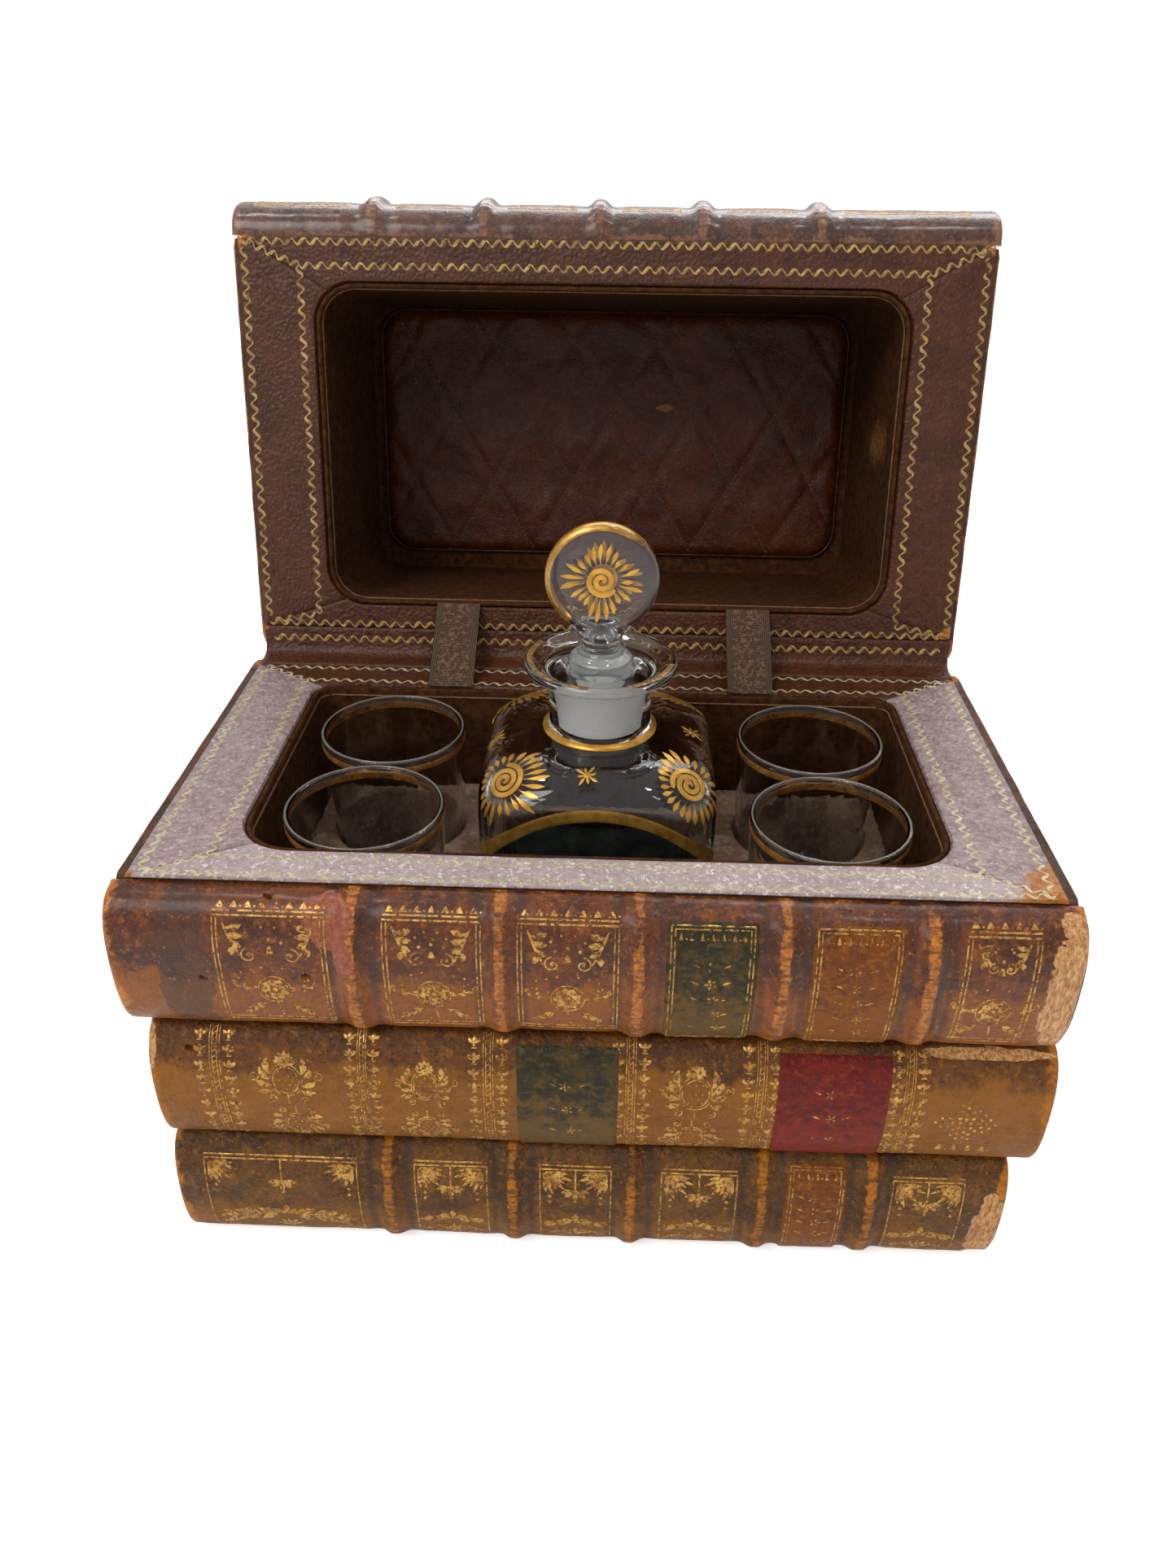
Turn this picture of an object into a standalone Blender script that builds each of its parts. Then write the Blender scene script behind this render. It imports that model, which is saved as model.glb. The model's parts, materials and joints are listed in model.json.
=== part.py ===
"""Tantalus in the form of five old books: three are the case, two are the lid.

Metres, +Z up. The origin is the centre of the underside. The spines face -Y and the lid turns about the
leather hinge along the back edge. The model stands with its lid open, as such a case is shown.
"""

import math

import bmesh
import bpy
from mathutils import Matrix, Vector

# Fits between pieces
GAP = 0.0003
GLUE_GAP = 0.0002
LID_SHUT_GAP = 0.0004
CUT_OVERRUN = 0.004
MERGE_DISTANCE = 0.00001

# Tooled leather rims round the openings
RIM_THICKNESS = 0.0012
SIDE_BORDER = 0.0225
CASE_FRONT_CORNER_RADIUS = 0.015
CASE_BACK_CORNER_RADIUS = 0.006
LID_CORNER_RADIUS = 0.0125
BASE_FRONT_BORDER = 0.0125
BASE_BACK_BORDER = 0.0208
LID_FRONT_BORDER = 0.0128
LID_BACK_BORDER = 0.0144

# Books, from the bottom up
BOARD_THICKNESS = 0.0026
BOARD_EDGE_RADIUS = 0.0007
SPINE_WALL = 0.0024
PAGE_SQUARE = 0.003
FORE_EDGE_HOLLOW = 0.0035
SPINE_CAP_LENGTH = 0.004
SPINE_CAP_DROP = 0.0010
BAND_WIDTH = 0.0094
BAND_HEIGHT = 0.0020
BAND_CREST_SHARE = 0.42
ENDBAND_RADIUS = 0.0012
LABEL_THICKNESS = 0.0004
SPINE_SQUARENESS_SHARE = 2.6

VOLUME_1_THICKNESS = 0.0400
VOLUME_1_OVERHANG = 0.0010
VOLUME_1_BULGE = 0.0105
VOLUME_2_THICKNESS = 0.0410
VOLUME_2_OVERHANG = 0.0030
VOLUME_2_BULGE = 0.0110
VOLUME_2_OFFSET = 0.0025
VOLUME_3_THICKNESS = 0.0419
VOLUME_3_OVERHANG = 0.0035
VOLUME_3_BULGE = 0.0115
VOLUME_4_THICKNESS = 0.0410
VOLUME_4_OVERHANG = 0.0020
VOLUME_4_BULGE = 0.0115
VOLUME_5_THICKNESS = 0.0415
VOLUME_5_OVERHANG = 0.0015
VOLUME_5_BULGE = 0.0110

# Places along a spine, as shares of half its length from its middle
VOLUME_1_BAND_SHARES = (-0.48, -0.18, 0.105, 0.418, 0.675)
VOLUME_3_BAND_SHARES = (-0.49, -0.185, 0.10, 0.395, 0.69)
VOLUME_4_BAND_SHARES = (-0.634, -0.338, -0.036, 0.233, 0.536)
VOLUME_5_BAND_SHARES = (-0.55, -0.27, 0.005, 0.285, 0.56)
LABEL_SHARES = {
    "volume_1_label": (0.475, 0.62),
    "volume_2_green_label": (-0.18, 0.045),
    "volume_2_red_label": (0.395, 0.64),
    "volume_3_green_label": (0.155, 0.34),
    "volume_3_tan_label": (0.45, 0.635),
}

# Case, its liner and the insert with the wells
VOLUME_1_POCKET_DEPTH = 0.0125
LINER_WALL = 0.0014
LINER_SET_DOWN = 0.0006
INSERT_DROP = 0.035
INSERT_FLOOR = 0.0065
WELL_CLEARANCE = 0.0008
WELL_FLARE = 0.0006

# Lid
OPEN_ANGLE = math.radians(102.6)
HINGE_OFFSET = 0.002
HINGE_WING = 0.0067
HINGE_SAG_SHARES = (0.33, 0.67)
HINGE_SAG = 0.0003
PAD_SIDE_INSET = 0.0036
PAD_TOP_INSET = 0.0010
PAD_FOOT_INSET = 0.0068
PAD_THICKNESS = 0.0052
PAD_EDGE_THICKNESS = 0.0022
PAD_CORNER_RADIUS = 0.0105
PAD_EDGE_ROLL = 0.008
QUILT_CELL_WIDTH = 0.0305
QUILT_CELL_HEIGHT = 0.051
QUILT_CHANNEL_DEPTH = 0.0012
QUILT_PILLOW_SHARE = 0.4
QUILT_CROSSING_X = 0.0155
QUILT_CROSSING_DROP = 0.061
STRAP_WIDTH = 0.0145
STRAP_THICKNESS = 0.0007
STRAP_LEFT_X = -0.049
STRAP_RIGHT_X = 0.047

# Tumblers
GLASS_HEIGHT = 0.060
GLASS_RIM_RADIUS = 0.0218
GLASS_FOOT_RADIUS = 0.0193
GLASS_WALL = 0.0012
GLASS_BASE = 0.0055
GLASS_RIM_DROP = 0.002
GLASS_EDGE_RADIUS = 0.0012
GLASS_PAIR_GAP = 0.0007
GLASS_WALL_GAP = 0.0012
GLASS_SIDE_GAP = 0.0057
FINGER_GAP = 0.0085

# Decanter: heights are above the plane of the rim
DECANTER_HALF_WIDTH = 0.033
DECANTER_CORNER_RADIUS = 0.013
DECANTER_WALL = 0.003
DECANTER_BASE = 0.006
DECANTER_CLEARANCE = 0.001
DECANTER_PLACE_SHARE = 0.3722
DECANTER_FOOT_EDGE = 0.0024
SHOULDER_START_DROP = 0.005
SHOULDER_TOP_RISE = 0.0108
SHOULDER_SQUARENESS_SHARE = 3.4
NECK_FOOT_RISE = 0.0126
NECK_FOOT_RADIUS = 0.0152
NECK_RADIUS = 0.0143
FLANGE_RISE = 0.0316
FLANGE_RADIUS = 0.0212
FLANGE_THICKNESS = 0.0032
MOUTH_RADIUS = 0.0112
BORE_FOOT_RADIUS = 0.0098
BORE_FOOT_RISE = 0.014

# Stopper
PLUG_FOOT_RISE = 0.0152
PLUG_EDGE = 0.0009
CROWN_EDGE = 0.0009
CROWN_RISE = 0.0316
STEM_RADIUS = 0.0053
STEM_FLARE = 0.0021
STEM_RISE = 0.0388
STEM_TOP_RISE = 0.0440
DISC_RADIUS = 0.0152
DISC_THICKNESS = 0.0054
DISC_EDGE_RADIUS = 0.0018
DISC_EDGE_SHARE = 0.3
DISC_RISE = 0.0544

# Facets
HINGE_STEPS = 5
SPINE_STEPS = 10
FLAT_STEPS = (2, SPINE_STEPS - 2)
CORNER_STEPS = 5
QUILT_STEPS = 8
SHOULDER_STEPS = 6
RING_POINTS = 40
TUMBLER_STEPS = 28
STOPPER_STEPS = 24
DISC_STEPS = 32

# Sizes and places worked out from the sizes above: the case is made to fit what it holds
LINING = GAP + LINER_WALL
GLASS_ROW_PITCH = GLASS_RIM_RADIUS * 2 + GLASS_PAIR_GAP
GLASS_COLUMN_X = DECANTER_HALF_WIDTH + FINGER_GAP + GLASS_RIM_RADIUS
CASE_OPENING_DEPTH = GLASS_ROW_PITCH + (GLASS_RIM_RADIUS + GLASS_WALL_GAP + LINING) * 2
OPENING_HALF_WIDTH = GLASS_COLUMN_X + GLASS_RIM_RADIUS + GLASS_SIDE_GAP + LINING
RIM_WIDTH = (OPENING_HALF_WIDTH + SIDE_BORDER) * 2
RIM_DEPTH = BASE_FRONT_BORDER + CASE_OPENING_DEPTH + BASE_BACK_BORDER
FRONT_Y = -RIM_DEPTH / 2
BACK_Y = RIM_DEPTH / 2
VOLUME_1_FOOT = 0.0
VOLUME_2_FOOT = VOLUME_1_THICKNESS + GAP
VOLUME_3_FOOT = VOLUME_2_FOOT + VOLUME_2_THICKNESS + GAP
RIM_TOP = VOLUME_3_FOOT + VOLUME_3_THICKNESS + GAP + RIM_THICKNESS
PIVOT_Y = BACK_Y + HINGE_OFFSET
PIVOT_Z = RIM_TOP + LID_SHUT_GAP / 2
LID_RIM_FOOT = LID_SHUT_GAP / 2
VOLUME_4_FOOT = LID_RIM_FOOT + RIM_THICKNESS + GAP
VOLUME_5_FOOT = VOLUME_4_FOOT + VOLUME_4_THICKNESS + GAP
LID_CEILING = VOLUME_5_FOOT + VOLUME_5_THICKNESS - BOARD_THICKNESS - GAP / 2
LID_FRONT_Y = FRONT_Y - PIVOT_Y
LID_BACK_Y = BACK_Y - PIVOT_Y
CASE_FRONT_Y = FRONT_Y + BASE_FRONT_BORDER
CASE_BACK_Y = BACK_Y - BASE_BACK_BORDER
RECESS_FRONT_Y = LID_FRONT_Y + LID_FRONT_BORDER
RECESS_BACK_Y = LID_BACK_Y - LID_BACK_BORDER
CASE_FLOOR = VOLUME_1_THICKNESS - VOLUME_1_POCKET_DEPTH
LINER_FLOOR_TOP = CASE_FLOOR + GAP + LINER_WALL
INSERT_TOP = RIM_TOP - INSERT_DROP
DECANTER_FOOT = LINER_FLOOR_TOP + GAP + INSERT_FLOOR + GAP
GLASS_TOP = RIM_TOP - GLASS_RIM_DROP
GLASS_FOOT = GLASS_TOP - GLASS_HEIGHT
CASE_CENTRE_Y = (CASE_FRONT_Y + CASE_BACK_Y) / 2
DECANTER_ROOM = CASE_OPENING_DEPTH / 2 - LINING - DECANTER_HALF_WIDTH - DECANTER_CLEARANCE
DECANTER_Y = CASE_CENTRE_Y + DECANTER_ROOM * DECANTER_PLACE_SHARE
PAD_WIDTH = (OPENING_HALF_WIDTH - LINING - PAD_SIDE_INSET) * 2
PAD_HEIGHT = RECESS_BACK_Y - RECESS_FRONT_Y - LINING * 2 - PAD_TOP_INSET - PAD_FOOT_INSET

# Colours and finishes: base colour, roughness, metallic, transmission
FINISHES = {
    "tooled_leather": ((0.060, 0.025, 0.019), 0.45, 0.0, 0.0),
    "brown_calf": ((0.190, 0.072, 0.024), 0.50, 0.0, 0.0),
    "tan_calf": ((0.190, 0.090, 0.032), 0.55, 0.0, 0.0),
    "dark_calf": ((0.105, 0.050, 0.022), 0.52, 0.0, 0.0),
    "board_leather": ((0.085, 0.040, 0.022), 0.55, 0.0, 0.0),
    "page_edges": ((0.420, 0.300, 0.160), 0.80, 0.0, 0.0),
    "endband_thread": ((0.150, 0.060, 0.025), 0.80, 0.0, 0.0),
    "green_label": ((0.030, 0.033, 0.014), 0.45, 0.0, 0.0),
    "tan_label": ((0.200, 0.080, 0.028), 0.50, 0.0, 0.0),
    "red_label": ((0.180, 0.010, 0.013), 0.45, 0.0, 0.0),
    "suede": ((0.035, 0.015, 0.007), 0.95, 0.0, 0.0),
    "insert_leather": ((0.050, 0.022, 0.014), 0.55, 0.0, 0.0),
    "quilted_leather": ((0.055, 0.024, 0.017), 0.42, 0.0, 0.0),
    "ribbon": ((0.115, 0.092, 0.062), 0.90, 0.0, 0.0),
    "glass": ((0.950, 0.960, 0.950), 0.02, 0.0, 1.0),
}


def clear_scene():
    for obj in list(bpy.data.objects):
        bpy.data.objects.remove(obj, do_unlink=True)


def new_collection(name, hidden=False):
    collection = bpy.data.collections.new(name)
    collection.hide_render = hidden
    bpy.context.scene.collection.children.link(collection)
    return collection


def make_material(name):
    colour, roughness, metallic, transmission = FINISHES[name]
    material = bpy.data.materials.new(name)
    material.use_nodes = True
    shader = material.node_tree.nodes["Principled BSDF"]
    shader.inputs["Base Color"].default_value = (*colour, 1.0)
    shader.inputs["Roughness"].default_value = roughness
    shader.inputs["Metallic"].default_value = metallic
    shader.inputs["Transmission Weight"].default_value = transmission
    return material


# Meshes


def mesh_object(name, bm, collection, smooth_angle=math.radians(35)):
    bmesh.ops.recalc_face_normals(bm, faces=bm.faces)
    mesh = bpy.data.meshes.new(name)
    bm.to_mesh(mesh)
    bm.free()
    mesh.shade_smooth()
    mesh.set_sharp_from_angle(angle=smooth_angle)
    obj = bpy.data.objects.new(name, mesh)
    collection.objects.link(obj)
    return obj


def loft(name, rings, collection):
    """A closed body through rings of equal point counts, capped at both ends."""
    bm = bmesh.new()
    rows = [[bm.verts.new(point) for point in ring] for ring in rings]
    for low, high in zip(rows, rows[1:]):
        for i in range(len(low)):
            j = (i + 1) % len(low)
            bm.faces.new((low[i], low[j], high[j], high[i]))
    bm.faces.new(rows[0])
    bm.faces.new(rows[-1])
    return mesh_object(name, bm, collection)


def along_x(outline, x):
    return [(x, y, z) for y, z in outline]


def along_z(outline, z):
    return [(x, y, z) for x, y in outline]


def prism_x(name, outline, x_low, x_high, collection):
    return loft(name, [along_x(outline, x_low), along_x(outline, x_high)], collection)


def prism_z(name, outline, z_low, z_high, collection):
    return loft(name, [along_z(outline, z_low), along_z(outline, z_high)], collection)


def box(name, low, high, collection, edge_radius=0.0):
    bm = bmesh.new()
    size = Vector(high) - Vector(low)
    centre = (Vector(high) + Vector(low)) / 2
    bmesh.ops.create_cube(bm, size=1.0, matrix=Matrix.Translation(centre) @ Matrix.Diagonal((*size, 1.0)))
    obj = mesh_object(name, bm, collection)
    if edge_radius:
        bevel = obj.modifiers.new("rounded_edges", "BEVEL")
        bevel.width = edge_radius
        bevel.segments = 2
    return obj


def turned(name, profile, collection, steps):
    """A profile of (radius, z) turned about Z: outer side from the top down, then back up inside."""
    mesh = bpy.data.meshes.new(name)
    points = [(radius, 0.0, z) for radius, z in profile]
    mesh.from_pydata(points, [(i, i + 1) for i in range(len(points) - 1)], [])
    obj = bpy.data.objects.new(name, mesh)
    collection.objects.link(obj)
    screw = obj.modifiers.new("turned", "SCREW")
    screw.steps = steps
    screw.render_steps = steps
    screw.use_merge_vertices = True
    screw.merge_threshold = MERGE_DISTANCE
    return obj


def cut(obj, cutter, operation="DIFFERENCE"):
    boolean = obj.modifiers.new(f"{operation.lower()}_{cutter.name}", "BOOLEAN")
    boolean.object = cutter
    boolean.operation = operation
    boolean.solver = "EXACT"


def rounded_rectangle(half_width, y_low, y_high, low_radius, high_radius):
    """An outline about the middle plane, with one corner radius at each end of its depth."""
    corners = (
        (1, y_high, high_radius, 0),
        (-1, y_high, high_radius, 1),
        (-1, y_low, low_radius, 2),
        (1, y_low, low_radius, 3),
    )
    outline = []
    for side, edge, radius, quarter in corners:
        x = side * (half_width - radius)
        y = edge - math.copysign(radius, edge - (y_low + y_high) / 2)
        for step in range(CORNER_STEPS + 1):
            angle = math.pi / 2 * (quarter + step / CORNER_STEPS)
            outline.append((x + radius * math.cos(angle), y + radius * math.sin(angle)))
    return outline


def finish(obj, material, parent=None, place=(0.0, 0.0, 0.0)):
    """Gives a piece its own material and its place, under a parent where it moves with one."""
    obj.data.materials.clear()
    obj.data.materials.append(material.copy())
    obj.location = place
    if parent:
        obj.parent = parent
    return obj


# Books


def power(value, share):
    return math.copysign(abs(value) ** share, value)


def spine_curve(bulge, half, start=0, stop=SPINE_STEPS):
    """The rounded back of a book, from its top edge forward and down to its bottom edge."""
    points = []
    for step in range(start, stop + 1):
        angle = math.pi * step / SPINE_STEPS
        depth = math.sin(angle) if 0 < step < SPINE_STEPS else 0.0
        y = -bulge * depth ** (2 / SPINE_SQUARENESS_SHARE)
        z = half * power(math.cos(angle), 2 / SPINE_SQUARENESS_SHARE)
        points.append((y, z))
    return points


def moved(points, y, z):
    return [(point[0] + y, point[1] + z) for point in points]


def spine(book, collection):
    """A leather spine, open at the back, with its raised bands and its turned-in ends."""
    half = book["thickness"] / 2
    inner = spine_curve(book["bulge"] - SPINE_WALL, half - BOARD_THICKNESS)
    half_length = book["length"] / 2
    stations = [(-half_length, -SPINE_CAP_DROP), (SPINE_CAP_LENGTH - half_length, 0.0)]
    for share in book["band_shares"]:
        centre = share * half_length
        crest = BAND_WIDTH / 2 * BAND_CREST_SHARE
        stations.append((centre - BAND_WIDTH / 2, 0.0))
        stations.append((centre - crest, BAND_HEIGHT))
        stations.append((centre + crest, BAND_HEIGHT))
        stations.append((centre + BAND_WIDTH / 2, 0.0))
    stations.append((half_length - SPINE_CAP_LENGTH, 0.0))
    stations.append((half_length, -SPINE_CAP_DROP))
    rings = []
    for x, rise in stations:
        outer = spine_curve(book["bulge"] + rise, half)
        section = moved(outer + inner[::-1], book["front"], book["foot"] + half)
        rings.append(along_x(section, x + book["offset"]))
    return loft(f"{book['name']}_spine", rings, collection)


def board(book, side, collection):
    low = book["foot"] if side == "lower" else book["foot"] + book["thickness"] - BOARD_THICKNESS
    half_length = book["length"] / 2
    return box(
        f"{book['name']}_{side}_board",
        (book["offset"] - half_length, book["front"] + GAP, low),
        (book["offset"] + half_length, book["back"], low + BOARD_THICKNESS),
        collection,
        BOARD_EDGE_RADIUS,
    )


def page_block(book, collection):
    """The block of leaves: rounded behind the spine, hollow along the fore edge."""
    half = book["thickness"] / 2 - BOARD_THICKNESS - GAP
    rounded = spine_curve(book["bulge"] - SPINE_WALL - GAP, half)
    outline = moved(rounded, book["front"], 0.0)
    fore_edge = book["back"] - PAGE_SQUARE
    for step in range(SPINE_STEPS // 2 + 1):
        share = step / (SPINE_STEPS // 2)
        hollow = FORE_EDGE_HOLLOW * math.sin(math.pi * share)
        outline.append((fore_edge - hollow, half * (2 * share - 1)))
    outline = moved(outline, 0.0, book["foot"] + book["thickness"] / 2)
    reach = book["length"] / 2 - PAGE_SQUARE
    ends = (book["offset"] - reach, book["offset"] + reach)
    return prism_x(f"{book['name']}_pages", outline, *ends, collection)


def mesh_from_curve(curve, name, collection):
    """The evaluated curve as a mesh object with its caps welded."""
    bpy.context.view_layer.update()
    evaluated = curve.evaluated_get(bpy.context.evaluated_depsgraph_get())
    mesh = bpy.data.meshes.new_from_object(evaluated)
    bm = bmesh.new()
    bm.from_mesh(mesh)
    bmesh.ops.remove_doubles(bm, verts=bm.verts, dist=MERGE_DISTANCE)
    bpy.data.objects.remove(curve, do_unlink=True)
    return mesh_object(name, bm, collection)


def endband(book, side, collection):
    """The worked band at one end of the spine, between the page block and the leather."""
    half = book["thickness"] / 2 - BOARD_THICKNESS - GAP - ENDBAND_RADIUS
    bulge = book["bulge"] - SPINE_WALL - GAP - ENDBAND_RADIUS
    middle = book["foot"] + book["thickness"] / 2
    path = moved(spine_curve(bulge, half, *FLAT_STEPS), book["front"], middle)
    name = f"{book['name']}_{side}_endband"
    data = bpy.data.curves.new(name, "CURVE")
    data.dimensions = "3D"
    data.bevel_depth = ENDBAND_RADIUS
    data.bevel_resolution = 1
    data.use_fill_caps = True
    reach = book["length"] / 2 - PAGE_SQUARE + GAP + ENDBAND_RADIUS
    x = book["offset"] + (reach if side == "right" else -reach)
    spline = data.splines.new("POLY")
    spline.points.add(len(path) - 1)
    for point, (y, z) in zip(spline.points, path):
        point.co = (x, y, z, 1.0)
    curve = bpy.data.objects.new(f"{name}_path", data)
    collection.objects.link(curve)
    return mesh_from_curve(curve, name, collection)


def title_label(name, book, collection):
    """A thin leather label glued to a flat stretch of the spine."""
    half = book["thickness"] / 2
    inner = spine_curve(book["bulge"] + GLUE_GAP, half + GLUE_GAP, *FLAT_STEPS)
    lift = GLUE_GAP + LABEL_THICKNESS
    outer = spine_curve(book["bulge"] + lift, half + lift, *FLAT_STEPS)
    section = moved(outer + inner[::-1], book["front"], book["foot"] + half)
    ends = [book["offset"] + share * book["length"] / 2 for share in LABEL_SHARES[name]]
    return prism_x(name, section, ends[0], ends[1], collection)


def make_book(book, cutter, through, materials, parts, parent=None):
    """All pieces of one book. The cutter opens the boards that it passes and the page block."""
    pieces = {
        "spine": (spine(book, parts), book["finish"]),
        "upper_board": (board(book, "upper", parts), "board_leather"),
        "lower_board": (board(book, "lower", parts), "board_leather"),
        "pages": (page_block(book, parts), "page_edges"),
        "left_endband": (endband(book, "left", parts), "endband_thread"),
        "right_endband": (endband(book, "right", parts), "endband_thread"),
    }
    for key in through:
        cut(pieces[key][0], cutter)
    for obj, finish_name in pieces.values():
        finish(obj, materials[finish_name], parent)
    for name in book["labels"]:
        obj = title_label(name, book, parts)
        finish(obj, materials[book["labels"][name]], parent)


def book_values(name, thickness, length, bulge, foot, finish_name, band_shares=(), offset=0.0, labels=None):
    return {
        "name": name,
        "thickness": thickness,
        "length": length,
        "bulge": bulge,
        "foot": foot,
        "finish": finish_name,
        "band_shares": band_shares,
        "offset": offset,
        "labels": labels or {},
        "front": FRONT_Y,
        "back": BACK_Y,
    }


# Rims and liners


def rim_strips(prefix, front, back, opening, foot, cutter, material, parts, parent=None):
    """Four mitred strips of leather round an opening, each cut to the opening's rounded edge."""
    half = RIM_WIDTH / 2
    side = half - OPENING_HALF_WIDTH
    front_run = side / (opening["front"] - front)
    back_run = side / (back - opening["back"])
    front_shift = GAP / 2 * math.hypot(1, front_run)
    back_shift = GAP / 2 * math.hypot(1, back_run)

    def front_x(y):
        return half - (y - front) * front_run

    def back_x(y):
        return half - (back - y) * back_run

    front_in = opening["front"] + opening["front_radius"]
    back_in = opening["back"] - opening["back_radius"]
    front_tip = front_x(front_in)
    back_tip = back_x(back_in)
    outlines = {
        "front": [
            (front_shift - half, front),
            (half - front_shift, front),
            (front_tip - front_shift, front_in),
            (front_shift - front_tip, front_in),
        ],
        "back": [
            (half - back_shift, back),
            (back_shift - half, back),
            (back_shift - back_tip, back_in),
            (back_tip - back_shift, back_in),
        ],
    }
    front_step = front_shift / front_run
    back_step = back_shift / back_run
    right = [
        (half, front + front_step),
        (half, back - back_step),
        (back_tip, back_in - back_step),
        (front_tip, front_in + front_step),
    ]
    outlines["right"] = right
    outlines["left"] = [(-x, y) for x, y in right]
    for key, outline in outlines.items():
        strip = prism_z(f"{prefix}_rim_{key}", outline, foot, foot + RIM_THICKNESS, parts)
        cut(strip, cutter)
        finish(strip, material, parent)


def opening_values(front, back, front_radius, back_radius):
    return {"front": front, "back": back, "front_radius": front_radius, "back_radius": back_radius}


def opening_outline(opening, inset=0.0):
    """The opening's outline, drawn in all round."""
    return rounded_rectangle(
        OPENING_HALF_WIDTH - inset,
        opening["front"] + inset,
        opening["back"] - inset,
        opening["front_radius"] - inset,
        opening["back_radius"] - inset,
    )


def opening_cutter(name, opening, z_low, z_high, cutters, parent=None):
    return as_cutter(prism_z(name, opening_outline(opening), z_low, z_high, cutters), parent)


def as_cutter(cutter, parent=None):
    cutter.hide_render = True
    cutter.display_type = "WIRE"
    if parent:
        cutter.parent = parent
    return cutter


def liner(name, opening, floor, mouth, parts):
    """An open tray: one skin out, round the lip and in again, closed at its floor."""
    outer = opening_outline(opening, GAP)
    inner = opening_outline(opening, LINING)
    inner_floor = floor + math.copysign(LINER_WALL, mouth - floor)
    rings = [
        along_z(outer, floor),
        along_z(outer, mouth),
        along_z(inner, mouth),
        along_z(inner, inner_floor),
    ]
    return loft(name, rings, parts)


# Inside the case


def glass_radius(height):
    """A tumbler's outer radius at a height above its foot."""
    return GLASS_FOOT_RADIUS + (GLASS_RIM_RADIUS - GLASS_FOOT_RADIUS) * height / GLASS_HEIGHT


def glass_places():
    for row, side_y in (("front", -1), ("back", 1)):
        for column, side_x in (("left", -1), ("right", 1)):
            place = (side_x * GLASS_COLUMN_X, CASE_CENTRE_Y + side_y * GLASS_ROW_PITCH / 2)
            yield f"{row}_{column}", place


def glass_well_cutter(name, place, cutters):
    radius = glass_radius(INSERT_TOP - GLASS_FOOT) + WELL_CLEARANCE
    foot = GLASS_FOOT - GAP
    profile = [
        (0.0, INSERT_TOP + CUT_OVERRUN),
        (radius + WELL_FLARE, INSERT_TOP + CUT_OVERRUN),
        (radius + WELL_FLARE, INSERT_TOP),
        (radius, INSERT_TOP - WELL_FLARE),
        (radius, foot),
        (0.0, foot),
    ]
    cutter = turned(f"{name}_well_cutter", profile, cutters, TUMBLER_STEPS)
    cutter.location = (*place, 0.0)
    return as_cutter(cutter)


def decanter_well_cutter(cutters):
    half = DECANTER_HALF_WIDTH + DECANTER_CLEARANCE
    foot = DECANTER_FOOT - GAP
    outlines = [
        (half, foot),
        (half, INSERT_TOP - WELL_FLARE),
        (half + WELL_FLARE, INSERT_TOP),
        (half + WELL_FLARE, INSERT_TOP + CUT_OVERRUN),
    ]
    rings = []
    for reach, z in outlines:
        radius = DECANTER_CORNER_RADIUS + reach - DECANTER_HALF_WIDTH
        rings.append(along_z(rounded_rectangle(reach, -reach, reach, radius, radius), z))
    cutter = loft("decanter_well_cutter", rings, cutters)
    cutter.location = (0.0, DECANTER_Y, 0.0)
    return as_cutter(cutter)


def insert_block(opening, parts, cutters):
    """The leather-covered block that holds the decanter and the tumblers upright."""
    outline = opening_outline(opening, LINING + GAP)
    block = prism_z("glass_insert", outline, LINER_FLOOR_TOP + GAP, INSERT_TOP, parts)
    cut(block, decanter_well_cutter(cutters))
    for name, place in glass_places():
        cut(block, glass_well_cutter(name, place, cutters))
    return block


def tumbler(name, material, parts, parent):
    """A plain tumbler with a thick base, its origin on the line it is lifted along."""
    rim = GLASS_WALL / 2
    edge = GLASS_EDGE_RADIUS
    outer = [
        (GLASS_RIM_RADIUS - rim, GLASS_HEIGHT),
        (GLASS_RIM_RADIUS, GLASS_HEIGHT - rim),
        (glass_radius(GLASS_HEIGHT / 2), GLASS_HEIGHT / 2),
        (glass_radius(edge), edge),
        (GLASS_FOOT_RADIUS - edge, 0.0),
        (0.0, 0.0),
    ]
    inner = [
        (0.0, GLASS_BASE),
        (GLASS_FOOT_RADIUS - GLASS_WALL - edge, GLASS_BASE + edge / 2),
        (glass_radius(GLASS_BASE) - GLASS_WALL, GLASS_BASE + edge * 2),
        (GLASS_RIM_RADIUS - GLASS_WALL, GLASS_HEIGHT - rim),
        (GLASS_RIM_RADIUS - rim, GLASS_HEIGHT),
    ]
    glass = turned(f"tumbler_{name}", outer + inner, parts, TUMBLER_STEPS)
    return finish(glass, material, parent)


def square_ring(half, z, radius):
    """A level ring about Z: a square with rounded corners, or a circle where the radius is the half width."""
    flat = half - radius
    ring = []
    for i in range(RING_POINTS):
        angle = math.tau * i / RING_POINTS
        c = abs(math.cos(angle))
        s = abs(math.sin(angle))
        if half * min(c, s) <= flat * max(c, s):
            reach = half / max(c, s)
        else:
            reach = flat * (c + s) + math.sqrt(radius**2 - (flat * (c - s)) ** 2)
        ring.append((reach * math.cos(angle), reach * math.sin(angle), z))
    return ring


def shoulder_rings(half, corner, neck, foot, top, rising):
    """Rings over a shoulder that turns from the square body to the round neck."""
    exponent = 2 / SHOULDER_SQUARENESS_SHARE
    rings = []
    steps = range(1, SHOULDER_STEPS)
    for step in steps if rising else reversed(steps):
        angle = math.pi / 2 * step / SHOULDER_STEPS
        reach = neck + (half - neck) * math.cos(angle) ** exponent
        z = foot + (top - foot) * math.sin(angle) ** exponent
        roundness = step / SHOULDER_STEPS
        rings.append(square_ring(reach, z, reach * roundness + corner * (1 - roundness)))
    return rings


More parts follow.
